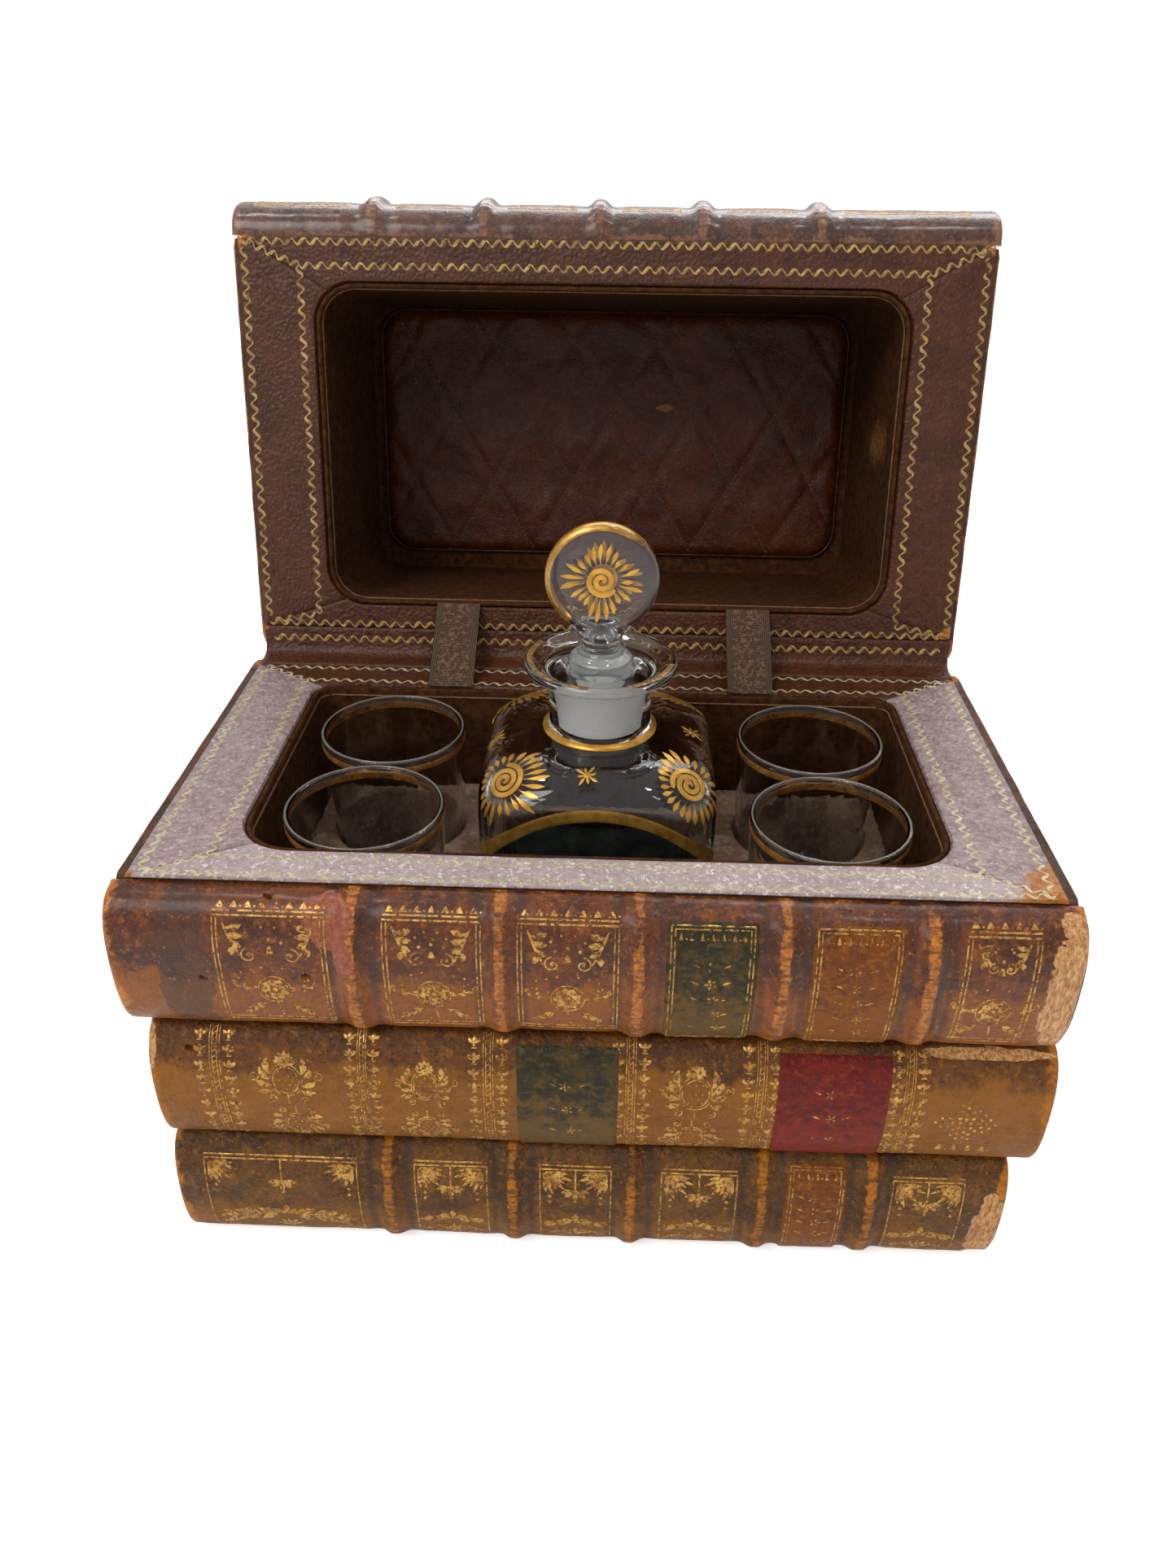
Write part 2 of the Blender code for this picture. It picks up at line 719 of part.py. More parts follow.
def decanter_body(parts):
    """Square body with round shoulders, ground neck and a wide dished flange, hollow inside."""
    rim = RIM_TOP - DECANTER_FOOT
    half = DECANTER_HALF_WIDTH
    corner = DECANTER_CORNER_RADIUS
    wall = DECANTER_WALL
    edge = DECANTER_FOOT_EDGE
    straight = rim - SHOULDER_START_DROP
    rings = [
        square_ring(half - edge, 0.0, corner - edge),
        square_ring(half - edge / 4, edge / 4, corner - edge / 4),
        square_ring(half, edge, corner),
        square_ring(half, straight, corner),
    ]
    rings += shoulder_rings(half, corner, NECK_FOOT_RADIUS, straight, rim + SHOULDER_TOP_RISE, True)
    flange_foot = rim + FLANGE_RISE - FLANGE_THICKNESS
    flange_top = rim + FLANGE_RISE
    neck = (
        (NECK_FOOT_RADIUS, rim + SHOULDER_TOP_RISE),
        (NECK_RADIUS, rim + NECK_FOOT_RISE),
        (NECK_RADIUS, flange_foot - FLANGE_THICKNESS),
        ((NECK_RADIUS + FLANGE_RADIUS) / 2, flange_foot - FLANGE_THICKNESS / 4),
        (FLANGE_RADIUS, flange_foot + FLANGE_THICKNESS / 3),
        (FLANGE_RADIUS, flange_top - FLANGE_THICKNESS / 4),
        (FLANGE_RADIUS - FLANGE_THICKNESS / 3, flange_top),
        ((MOUTH_RADIUS + FLANGE_RADIUS) / 2, flange_foot + FLANGE_THICKNESS / 4),
        (MOUTH_RADIUS, flange_foot),
        (BORE_FOOT_RADIUS, rim + BORE_FOOT_RISE),
    )
    for radius, z in neck:
        rings.append(square_ring(radius, z, radius))
    inner = half - wall
    inner_corner = corner - wall
    inner_top = rim + SHOULDER_TOP_RISE - wall
    rings.append(square_ring(BORE_FOOT_RADIUS, inner_top, BORE_FOOT_RADIUS))
    rings += shoulder_rings(inner, inner_corner, BORE_FOOT_RADIUS, straight, inner_top, False)
    rings += [
        square_ring(inner, straight, inner_corner),
        square_ring(inner, DECANTER_BASE + wall, inner_corner),
        square_ring(inner - wall, DECANTER_BASE, inner_corner - wall),
    ]
    return loft("decanter", rings, parts)


def plug_radius(z):
    """The ground plug's radius, a gap inside the bore, at a height above the rim plane."""
    mouth = FLANGE_RISE - FLANGE_THICKNESS
    share = (z - BORE_FOOT_RISE) / (mouth - BORE_FOOT_RISE)
    return BORE_FOOT_RADIUS + (MOUTH_RADIUS - BORE_FOOT_RADIUS) * share - GAP


def stopper_body(parts, cutters):
    """Ground plug and stem turned in one, with a flat disc across the top facing the front."""
    mouth = FLANGE_RISE - FLANGE_THICKNESS
    crown = plug_radius(mouth) - CROWN_EDGE
    profile = [
        (0.0, STEM_TOP_RISE),
        (STEM_RADIUS - STEM_FLARE, STEM_TOP_RISE),
        (STEM_RADIUS, STEM_RISE),
        (STEM_RADIUS + STEM_FLARE / 3, (STEM_RISE + CROWN_RISE) / 2),
        (STEM_RADIUS + STEM_FLARE, CROWN_RISE + CROWN_EDGE),
        (crown, CROWN_RISE - CROWN_EDGE),
        (plug_radius(mouth), mouth),
        (plug_radius(PLUG_FOOT_RISE), PLUG_FOOT_RISE),
        (plug_radius(PLUG_FOOT_RISE) - PLUG_EDGE, PLUG_FOOT_RISE - PLUG_EDGE / 2),
        (0.0, PLUG_FOOT_RISE - PLUG_EDGE / 2),
    ]
    stopper = turned("stopper", profile, parts, STOPPER_STEPS)
    half = DISC_THICKNESS / 2
    edge = DISC_EDGE_RADIUS
    chamfer = edge * DISC_EDGE_SHARE
    disc_profile = [
        (0.0, half),
        (DISC_RADIUS - edge, half),
        (DISC_RADIUS - chamfer, half - chamfer),
        (DISC_RADIUS, half - edge),
        (DISC_RADIUS, edge - half),
        (DISC_RADIUS - chamfer, chamfer - half),
        (DISC_RADIUS - edge, -half),
        (0.0, -half),
    ]
    disc = turned("stopper_disc", disc_profile, cutters, DISC_STEPS)
    disc.rotation_euler = (math.pi / 2, 0.0, 0.0)
    disc.location = (0.0, 0.0, DISC_RISE)
    disc.parent = stopper
    as_cutter(disc)
    cut(stopper, disc, "UNION")
    return stopper


# Lid pieces


def quilt_height(x, y, half_width, half_height):
    """The pad's face: rolled edges, a soft crown and diamond channels."""
    edge = max(0.0, min(half_width - abs(x), half_height - abs(y), PAD_EDGE_ROLL)) / PAD_EDGE_ROLL
    roll = math.sqrt(1 - (1 - edge) ** 2)
    along = (x - QUILT_CROSSING_X) / QUILT_CELL_WIDTH
    across = (y + half_height - QUILT_CROSSING_DROP) / QUILT_CELL_HEIGHT
    weave = abs(math.sin(math.pi * (along + across)) * math.sin(math.pi * (along - across)))
    face = PAD_THICKNESS - QUILT_CHANNEL_DEPTH * (1 - weave**QUILT_PILLOW_SHARE)
    return PAD_EDGE_THICKNESS + (face - PAD_EDGE_THICKNESS) * roll


def quilted_pad(parts, cutters):
    """The padded ceiling panel. Its face mesh has an edge along every channel."""
    half_width = PAD_WIDTH / 2
    half_height = PAD_HEIGHT / 2
    step_x = QUILT_CELL_WIDTH / QUILT_STEPS
    step_y = QUILT_CELL_HEIGHT / QUILT_STEPS
    first_i = math.floor((-half_width - QUILT_CROSSING_X) / step_x)
    last_i = math.ceil((half_width - QUILT_CROSSING_X) / step_x)
    crossing_y = QUILT_CROSSING_DROP - half_height
    first_j = math.floor((-half_height - crossing_y) / step_y)
    last_j = math.ceil((half_height - crossing_y) / step_y)
    bm = bmesh.new()
    face, back = {}, {}
    for i in range(first_i, last_i + 1):
        for j in range(first_j, last_j + 1):
            x = QUILT_CROSSING_X + i * step_x
            y = crossing_y + j * step_y
            height = quilt_height(x, y, half_width, half_height)
            face[i, j] = bm.verts.new((x, y, -height))
            if i in (first_i, last_i) or j in (first_j, last_j):
                back[i, j] = bm.verts.new((x, y, 0.0))
    for i in range(first_i, last_i):
        for j in range(first_j, last_j):
            a, b, c, d = face[i, j], face[i + 1, j], face[i + 1, j + 1], face[i, j + 1]
            if (i - j) % QUILT_STEPS == 0:
                bm.faces.new((a, b, c))
                bm.faces.new((a, c, d))
            else:
                bm.faces.new((a, b, d))
                bm.faces.new((b, c, d))
    border = [(i, first_j) for i in range(first_i, last_i)]
    border += [(last_i, j) for j in range(first_j, last_j)]
    border += [(i, last_j) for i in range(last_i, first_i, -1)]
    border += [(first_i, j) for j in range(last_j, first_j, -1)]
    for here, there in zip(border, border[1:] + border[:1]):
        bm.faces.new((face[here], face[there], back[there], back[here]))
    bm.faces.new([back[key] for key in border])
    pad = mesh_object("quilted_pad", bm, parts)
    outline = rounded_rectangle(half_width, -half_height, half_height, PAD_CORNER_RADIUS, PAD_CORNER_RADIUS)
    shape = prism_z("pad_outline", outline, -PAD_THICKNESS - CUT_OVERRUN, CUT_OVERRUN, cutters)
    shape.parent = pad
    as_cutter(shape)
    cut(pad, shape, "INTERSECT")
    return pad


def opened(y, z):
    """A place on the shut lid, from the pivot, turned to where it stands open."""
    c, s = math.cos(OPEN_ANGLE), math.sin(OPEN_ANGLE)
    return (y * c + z * s, z * c - y * s)


def hinge_leather(parts):
    """One strip: a wing on each rim and the fold between them, running round the pivot."""
    base_top = -LID_SHUT_GAP / 2
    base_foot = base_top - RIM_THICKNESS
    lid_face = LID_RIM_FOOT
    lid_back = lid_face + RIM_THICKNESS
    wing = -HINGE_OFFSET - HINGE_WING
    outline = [(wing, base_top), (-HINGE_OFFSET, base_top)]
    first = Vector((-HINGE_OFFSET, base_top))
    last = Vector(opened(-HINGE_OFFSET, lid_face))
    for share in HINGE_SAG_SHARES:
        outline.append(tuple(first.lerp(last, share) + Vector((HINGE_SAG, -HINGE_SAG))))
    outline.append(tuple(last))
    outline.append(opened(wing, lid_face))
    outline.append(opened(wing, lid_back))
    start = math.atan2(*reversed(opened(-HINGE_OFFSET, lid_back)))
    stop = math.atan2(base_foot, -HINGE_OFFSET)
    radius = math.hypot(HINGE_OFFSET, base_foot)
    for step in range(HINGE_STEPS + 1):
        angle = start + (stop - start) * step / HINGE_STEPS
        outline.append((radius * math.cos(angle), radius * math.sin(angle)))
    outline.append((wing, base_foot))
    half = RIM_WIDTH / 2
    return prism_x("hinge_leather", outline, -half, half, parts)


def ribbon_stay(name, x, parts):
    """A flat ribbon pulled straight from the case opening to the lid opening."""
    half = STRAP_THICKNESS / 2
    low_y = CASE_BACK_Y - GAP - LINER_WALL / 2 - PIVOT_Y
    high_y = RECESS_BACK_Y - GAP - LINER_WALL / 2
    low = Vector((low_y, half))
    high = Vector(opened(high_y, -half))
    along = (high - low).normalized()
    across = Vector((-along.y, along.x)) * half
    outline = [tuple(low - across), tuple(high - across), tuple(high + across), tuple(low + across)]
    return prism_x(name, outline, x - STRAP_WIDTH / 2, x + STRAP_WIDTH / 2, parts)


# Assembly


def empty(name, place, collection, parent=None):
    obj = bpy.data.objects.new(name, None)
    obj.empty_display_size = RIM_THICKNESS
    obj.location = place
    obj.parent = parent
    collection.objects.link(obj)
    return obj


def build_base(materials, parts, cutters):
    opening = opening_values(CASE_FRONT_Y, CASE_BACK_Y, CASE_FRONT_CORNER_RADIUS, CASE_BACK_CORNER_RADIUS)
    cutter = opening_cutter("case_opening", opening, CASE_FLOOR, RIM_TOP + CUT_OVERRUN, cutters)
    bottom = book_values(
        "volume_1",
        VOLUME_1_THICKNESS,
        RIM_WIDTH + VOLUME_1_OVERHANG * 2,
        VOLUME_1_BULGE,
        VOLUME_1_FOOT,
        "dark_calf",
        VOLUME_1_BAND_SHARES,
        labels={"volume_1_label": "tan_label"},
    )
    middle = book_values(
        "volume_2",
        VOLUME_2_THICKNESS,
        RIM_WIDTH + VOLUME_2_OVERHANG * 2,
        VOLUME_2_BULGE,
        VOLUME_2_FOOT,
        "tan_calf",
        offset=VOLUME_2_OFFSET,
        labels={"volume_2_green_label": "green_label", "volume_2_red_label": "red_label"},
    )
    top = book_values(
        "volume_3",
        VOLUME_3_THICKNESS,
        RIM_WIDTH + VOLUME_3_OVERHANG * 2,
        VOLUME_3_BULGE,
        VOLUME_3_FOOT,
        "brown_calf",
        VOLUME_3_BAND_SHARES,
        labels={"volume_3_green_label": "green_label", "volume_3_tan_label": "tan_label"},
    )
    make_book(bottom, cutter, ("upper_board", "pages"), materials, parts)
    make_book(middle, cutter, ("upper_board", "lower_board", "pages"), materials, parts)
    make_book(top, cutter, ("upper_board", "lower_board", "pages"), materials, parts)
    rim_strips(
        "base",
        FRONT_Y,
        BACK_Y - HINGE_WING - GAP,
        opening,
        RIM_TOP - RIM_THICKNESS,
        cutter,
        materials["tooled_leather"],
        parts,
    )
    tray = liner("case_liner", opening, CASE_FLOOR + GAP, RIM_TOP - LINER_SET_DOWN, parts)
    finish(tray, materials["suede"])
    finish(insert_block(opening, parts, cutters), materials["insert_leather"])


def build_lid(materials, parts, cutters):
    pivot = empty("lid_pivot", (0.0, PIVOT_Y, PIVOT_Z), parts)
    opening = opening_values(RECESS_FRONT_Y, RECESS_BACK_Y, LID_CORNER_RADIUS, LID_CORNER_RADIUS)
    cutter = opening_cutter("lid_opening", opening, -CUT_OVERRUN, LID_CEILING, cutters, pivot)
    lower = book_values(
        "volume_4",
        VOLUME_4_THICKNESS,
        RIM_WIDTH + VOLUME_4_OVERHANG * 2,
        VOLUME_4_BULGE,
        VOLUME_4_FOOT,
        "brown_calf",
        VOLUME_4_BAND_SHARES,
    )
    upper = book_values(
        "volume_5",
        VOLUME_5_THICKNESS,
        RIM_WIDTH + VOLUME_5_OVERHANG * 2,
        VOLUME_5_BULGE,
        VOLUME_5_FOOT,
        "dark_calf",
        VOLUME_5_BAND_SHARES,
    )
    for book in (lower, upper):
        book["front"] = LID_FRONT_Y
        book["back"] = LID_BACK_Y
    make_book(lower, cutter, ("upper_board", "lower_board", "pages"), materials, parts, pivot)
    make_book(upper, cutter, ("lower_board", "pages"), materials, parts, pivot)
    rim_strips(
        "lid",
        LID_FRONT_Y,
        LID_BACK_Y - HINGE_WING - GAP,
        opening,
        LID_RIM_FOOT,
        cutter,
        materials["tooled_leather"],
        parts,
        pivot,
    )
    ceiling = LID_CEILING - GAP
    tray = liner("lid_liner", opening, ceiling, LID_RIM_FOOT + LINER_SET_DOWN, parts)
    finish(tray, materials["suede"], pivot)
    pad = quilted_pad(parts, cutters)
    pad_top = RECESS_FRONT_Y + LINING + PAD_TOP_INSET
    pad_place = (0.0, pad_top + PAD_HEIGHT / 2, ceiling - LINER_WALL - GAP)
    finish(pad, materials["quilted_leather"], pivot, pad_place)
    pivot.rotation_euler = (-OPEN_ANGLE, 0.0, 0.0)


def build_hinge_and_stays(materials, parts):
    place = (0.0, PIVOT_Y, PIVOT_Z)
    finish(hinge_leather(parts), materials["tooled_leather"], place=place)
    for name, x in (("ribbon_stay_left", STRAP_LEFT_X), ("ribbon_stay_right", STRAP_RIGHT_X)):
        finish(ribbon_stay(name, x, parts), materials["ribbon"], place=place)


def build_contents(materials, parts, cutters):
    decanter = finish(decanter_body(parts), materials["glass"], place=(0.0, DECANTER_Y, DECANTER_FOOT))
    stopper = stopper_body(parts, cutters)
    finish(stopper, materials["glass"], decanter, (0.0, 0.0, RIM_TOP - DECANTER_FOOT))
    for name, place in glass_places():
        lift = empty(f"{name}_lift", (*place, GLASS_FOOT), parts)
        tumbler(name, materials["glass"], parts, lift)


def main():
    clear_scene()
    parts = new_collection("tantalus")
    cutters = new_collection("cutters", hidden=True)
    materials = {name: make_material(name) for name in FINISHES}
    build_base(materials, parts, cutters)
    build_lid(materials, parts, cutters)
    build_hinge_and_stays(materials, parts)
    build_contents(materials, parts, cutters)
    bpy.context.view_layer.update()


main()
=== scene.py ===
"""The looks of a tantalus made of five old books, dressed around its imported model.

Metres, +Z up. A piece of the lid is drawn as if the lid were shut, from an origin on the hinge
line, and then turned open with the lid.
"""

import bisect
import json
import math

import bmesh
import bpy
from mathutils import Matrix, Vector, noise
from mathutils.bvhtree import BVHTree


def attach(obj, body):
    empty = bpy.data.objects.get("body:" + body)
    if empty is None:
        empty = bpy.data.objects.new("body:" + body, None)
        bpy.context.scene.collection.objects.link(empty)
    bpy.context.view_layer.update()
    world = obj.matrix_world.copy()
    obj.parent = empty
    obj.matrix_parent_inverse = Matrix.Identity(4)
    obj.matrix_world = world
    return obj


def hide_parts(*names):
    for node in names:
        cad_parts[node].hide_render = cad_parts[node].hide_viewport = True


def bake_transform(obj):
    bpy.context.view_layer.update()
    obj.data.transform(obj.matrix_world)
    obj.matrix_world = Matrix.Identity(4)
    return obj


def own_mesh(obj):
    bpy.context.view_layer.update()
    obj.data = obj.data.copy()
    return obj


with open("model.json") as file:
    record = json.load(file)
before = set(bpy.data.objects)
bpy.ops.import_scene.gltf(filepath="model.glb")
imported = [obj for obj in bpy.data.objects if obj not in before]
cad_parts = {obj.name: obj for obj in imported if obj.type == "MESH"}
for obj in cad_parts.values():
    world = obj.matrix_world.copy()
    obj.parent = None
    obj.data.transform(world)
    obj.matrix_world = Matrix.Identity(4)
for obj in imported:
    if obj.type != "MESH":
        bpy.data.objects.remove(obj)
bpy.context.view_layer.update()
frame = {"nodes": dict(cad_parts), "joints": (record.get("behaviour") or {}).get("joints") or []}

# Camera
LENS = 26.396
CAMERA_PLACE = (0.00543, -0.28833, 0.29157)
CAMERA_PITCH = math.radians(31.412)
CAMERA_YAW = math.radians(1.704)
CAMERA_ROLL = math.radians(0.617)

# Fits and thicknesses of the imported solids, and the forms of the bands in the scene alone
GAP = 0.0003
LINER_WALL = 0.0014
LINER_FILLET = 0.0012
BOARD_THICKNESS = 0.0026
BOARD_CORNER = 0.0022
SPINE_WALL = 0.0024
BAND_WIDTH = 0.0084
BAND_HEIGHT = 0.0020
BAND_CREST_SHARE = 0.16
SPINE_SQUARENESS = 2.6
FORE_EDGE_HOLLOW = 0.0035
CASE_CORNER_RADII = (0.015, 0.006)
LID_CORNER_RADII = (0.0125, 0.0125)
HINGE_OFFSET = 0.002

# Glass sizes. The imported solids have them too, apart from the lip, the mouth, the throat, the bore
# and the shoulders' squareness, which the photograph shows finer
RIM_TOP = 0.125
CUP_RADIUS = 0.0218
FOOT_RADIUS = 0.0193
CUP_WALL = 0.0012
CUP_BASE = 0.0055
LIP_RADIUS = 0.00030
BODY_HALF = 0.033
BODY_CORNER = 0.013
SHOULDER_SQUARENESS = 2.9
NECK_FOOT_RADIUS = 0.0152
NECK_RADIUS = 0.0143
FLANGE_RADIUS = 0.0212
MOUTH_RADIUS = 0.0090
THROAT_RADIUS = 0.0079
BORE_RADIUS = 0.0069
DISC_RADIUS = 0.0152
DISC_THICKNESS = 0.0054
DISC_EDGE = 0.0016
BODY_EDGE = 0.0024
BODY_WALL = 0.003
BODY_FLOOR = 0.009
SHOULDER_FOOT = RIM_TOP - 0.005
SHOULDER_TOP = RIM_TOP + 0.0108
FLANGE_TOP = RIM_TOP + 0.0316
FLANGE_FOOT = FLANGE_TOP - 0.0032
PLUG_MOUTH = RIM_TOP + 0.0284
WELL_FLARE = 0.0011
STRAND_DEPTH = 0.12
TUMBLERS = ("tumbler_front_left", "tumbler_front_right", "tumbler_back_left", "tumbler_back_right")

# Hinge and pad
HINGE_WING = 0.0067
FOLD_BASE = (-0.0002, -0.0014)
FOLD_LID = (0.0002, 0.0014)
QUILT_CELL_WIDTH = 0.0305
QUILT_CELL_HEIGHT = 0.051
QUILT_CROSSING_X = 0.0155
QUILT_CROSSING_DROP = 0.061
QUILT_SCUFF = (0.020, -0.080)
RIBBON_THICKNESS = 0.00042
RIB_PITCH = 0.00062
CORD_PITCH = 0.00046
PAD_STEP = 0.0014
PAD_CORNER = 0.0105
STITCH_PITCH = 0.0015
STITCH_HALF = 0.00042
PUFF_CAP = 0.0016

# Mesh fineness
# Pale, partly diffuse glass set inside the tumblers' rims as a painted highlight
SPINE_STEP = 0.0008
SPINE_ROWS = 92
RIM_STEP = 0.0011
RIM_SHARES = (0.0, 0.02, 0.05, 0.09, *(0.14 + 0.72 * k / 12 for k in range(12)), 0.86, 0.91, 0.95, 0.98, 1.0)
SIDE_POINTS = 48
TURN_STEPS = 96
BODY_STEPS = 192
SMOOTH_ANGLE = math.radians(40)

# Gilding
DENT_DEPTH = 0.00022
FOIL_LIFT = 0.00007
FOIL_SINK = 0.00005
LABEL_LIFT = 0.00046
SPINE_WEIGHT = 1.35
WAVE_PERIOD = 0.0040
WAVE_HEIGHT = 0.0017
WAVE_LINE = 0.00074
RULE_STEP = 0.0015
WIDE_LINE = 0.0009
NARROW_SECTION = ((-1.15, False), (-0.55, True), (0.55, True), (1.15, False))
WIDE_SECTION = ((-1.05, False), (-0.9, True), (-0.45, True), (0.0, True), (0.45, True), (0.9, True), (1.05, False))
ARCH_HALF = 0.0335
ARCH_RISE = 0.0262
ARCH_DROP = -0.0109
ARCH_ANGLES = tuple(math.radians(-84 + 168 * k / 48) for k in range(49))
SUN_REACHES = (
    *(0.0090, 0.0094, 0.0128, 0.0112, 0.0088, 0.0086, 0.0084, 0.0086),
    *(0.0086, 0.0092, 0.0104, 0.0112, 0.0106, 0.0130, 0.0120, 0.0092),
)
STOPPER_REACHES = (0.0120, 0.0076, 0.0108, 0.0076, 0.0114, 0.0076, 0.0126, 0.0076)
STARS = {
    "star_front": (-0.0027, -0.0264, 0.1347),
    "star_left": (-0.0292, -0.0047, 0.1330),
    "star_right": (0.0262, -0.0016, 0.1350),
    "star_back": (0.0010, 0.0264, 0.1347),
}

# Light
WHITE = (1.0, 1.0, 1.0, 1.0)
WORLD_LEVEL = 0.55
FLOOR_GLOW = 0.55
FLOOR_REACH = 14.0
LIGHTS = (
    ("key", (-0.75, -0.95, 1.35), (0.0, 0.0, 0.1), (0.9, 0.7), 13.0),
    ("rear", (0.15, 0.85, 0.85), (0.0, 0.0, 0.12), (1.1, 0.5), 6.5),
    ("glint_left", (-0.42, 0.10, 1.25), (0.0, 0.0, 0.12), (0.10, 0.10), 1.3),
    ("glint_right", (0.36, -0.30, 1.30), (0.0, 0.0, 0.12), (0.10, 0.10), 1.3),
    ("glint_far", (0.20, 0.62, 1.05), (0.0, 0.0, 0.12), (0.10, 0.10), 0.9),
)


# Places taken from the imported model


def joint_named(name):
    return next(joint for joint in frame["joints"] if joint["name"] == name)


LID_JOINT = joint_named("lid_hinge")
PIVOT = Vector(LID_JOINT["pos_m"])
OPEN_ANGLE = math.radians(max(abs(limit) for limit in LID_JOINT["range_deg"]))
BASE = Matrix()
LID = Matrix.Translation(PIVOT) @ Matrix.Rotation(-OPEN_ANGLE, 4, "X")


def extent(node, place=BASE):
    """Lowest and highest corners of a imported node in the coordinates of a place."""
    inverse = place.inverted()
    points = [inverse @ vertex.co for vertex in frame["nodes"][node].data.vertices]
    low = Vector(min(point[axis] for point in points) for axis in range(3))
    high = Vector(max(point[axis] for point in points) for axis in range(3))
    return low, high


# Small mathematics


def clamp(value, low=0.0, high=1.0):
    return max(low, min(high, value))


def smooth(value):
    value = clamp(value)
    return value * value * (3 - 2 * value)


def between(a, b, share):
    return a + (b - a) * share


def quarter(steps):
    """Sine and cosine at even steps through a right angle."""
    angles = [math.pi / 2 * k / steps for k in range(steps + 1)]
    return [(math.sin(angle), math.cos(angle)) for angle in angles]


def leaned(angle, side):
    """An angle of a pattern's right side, or its mirror image on the left."""
    return angle if side > 0 else math.pi - angle


def power(value, exponent):
    return math.copysign(abs(value) ** exponent, value)


def ripple(size, *place):
    """Even noise from -1 to 1 whose bumps have the given size."""
    return noise.noise(Vector(place) / size)


def colour(red, green, blue):
    """A linear colour from the 0 to 255 numbers that a screen shows."""
    channels = []
    for channel in (red, green, blue):
        share = channel / 255
        channels.append(share / 12.92 if share <= 0.04045 else ((share + 0.055) / 1.055) ** 2.4)
    return (*channels, 1.0)


# Materials


class Nodes:
    """A node tree to add nodes to."""

    def __init__(self, tree):
        self.nodes = tree.nodes
        self.links = tree.links

    def put(self, socket, value):
        if isinstance(value, bpy.types.NodeSocket):
            self.links.new(value, socket)
        else:
            socket.default_value = value

    def node(self, kind, output, inputs=(), **settings):
        """Adds a node with its settings and inputs, and gives back one of its outputs."""
        node = self.nodes.new("ShaderNode" + kind)
        for key, value in settings.items():
            setattr(node, key, value)
        for key, value in dict(inputs).items():
            self.put(node.inputs[key], value)
        return node.outputs[output]


class Finish(Nodes):
    """A procedural material, with the colour and the relief that it has so far."""

    def __init__(self, name):
        self.material = bpy.data.materials.new(name)
        self.material.use_nodes = True
        super().__init__(self.material.node_tree)
        self.place = self.node("TexCoord", "Object")
        self.base = None
        self.relief = None

    def set(self, **values):
        """Sets the shader's sockets, whose names are written with underscores."""
        for key, value in values.items():
            self.put(self.nodes["Principled BSDF"].inputs[key.replace("_", " ")], value)

    def done(self, saturation=None, **values):
        """Sets the colour, the relief and other values, and gives back the material."""
        base = self.base
        if saturation:
            base = self.node("HueSaturation", "Color", {"Saturation": saturation, "Color": base})
        self.set(Base_Color=base, Normal=self.relief, **values)
        return self.material

    def speckle(self, size, detail=3.0, roughness=0.55, place=None, distortion=0.0):
        inputs = {"Vector": place or self.place, "Scale": 1 / size, "Detail": detail}
        return self.node("TexNoise", "Fac", {**inputs, "Roughness": roughness, "Distortion": distortion})

    def specks(self, size, detail, roughness, low, high, scale=None):
        """Speckle spread between two levels, and drawn out where the scale of an axis is small."""
        place = self.node("Mapping", "Vector", {"Vector": self.place, "Scale": scale}) if scale else None
        return self.levels(self.speckle(size, detail, roughness, place), low, high)

    def cells(self, size, feature, place=None):
        return self.node("TexVoronoi", "Distance", {"Vector": place or self.place, "Scale": 1 / size}, feature=feature)

    def attribute(self, name):
        return self.node("Attribute", "Fac", attribute_name=name)

    def vector(self, x, y):
        return self.node("CombineXYZ", "Vector", {"X": x, "Y": y})

    def maths(self, operation, a, b=0.0):
        return self.node("Math", "Value", {0: a, 1: b}, operation=operation)

    def levels(self, value, low, high, to_low=0.0, to_high=1.0):
        inputs = {"Value": value, "From Min": low, "From Max": high, "To Min": to_low, "To Max": to_high}
        return self.node("MapRange", "Result", inputs, interpolation_type="SMOOTHSTEP")

    def mix(self, share, a, b, blend="MIX"):
        a, b = (colour(*tone) if isinstance(tone, tuple) else tone for tone in (a, b))
        return self.node("Mix", 2, {0: share, 6: a, 7: b}, data_type="RGBA", blend_type=blend)

    def dappled(self, a, b):
        """Two tones in fine specks."""
        return self.mix(self.specks(0.0014, 4.0, 0.7, 0.35, 0.65), a, b)

    def over(self, share, tone, strength=None, blend="MIX"):
        """Lays a tone over the colour so far, where the share says."""
        if strength:
            share = self.maths("MULTIPLY", share, strength)
        self.base = self.mix(share, self.base, tone, blend)

    def ragged(self, name, size, low, high, reach):
        """An attribute as a share whose border is broken up by noise."""
        noisy = self.maths("MULTIPLY", self.maths("SUBTRACT", self.speckle(size, 5.0, 0.65), 0.5), reach)
        return self.levels(self.maths("ADD", self.attribute(name), noisy), low, high)

    def bump(self, height, distance, strength=1.0):
        """Adds a height to the relief so far."""
        inputs = {"Height": height, "Distance": distance, "Strength": strength}
        if self.relief:
            inputs["Normal"] = self.relief
        self.relief = self.node("Bump", "Normal", inputs)


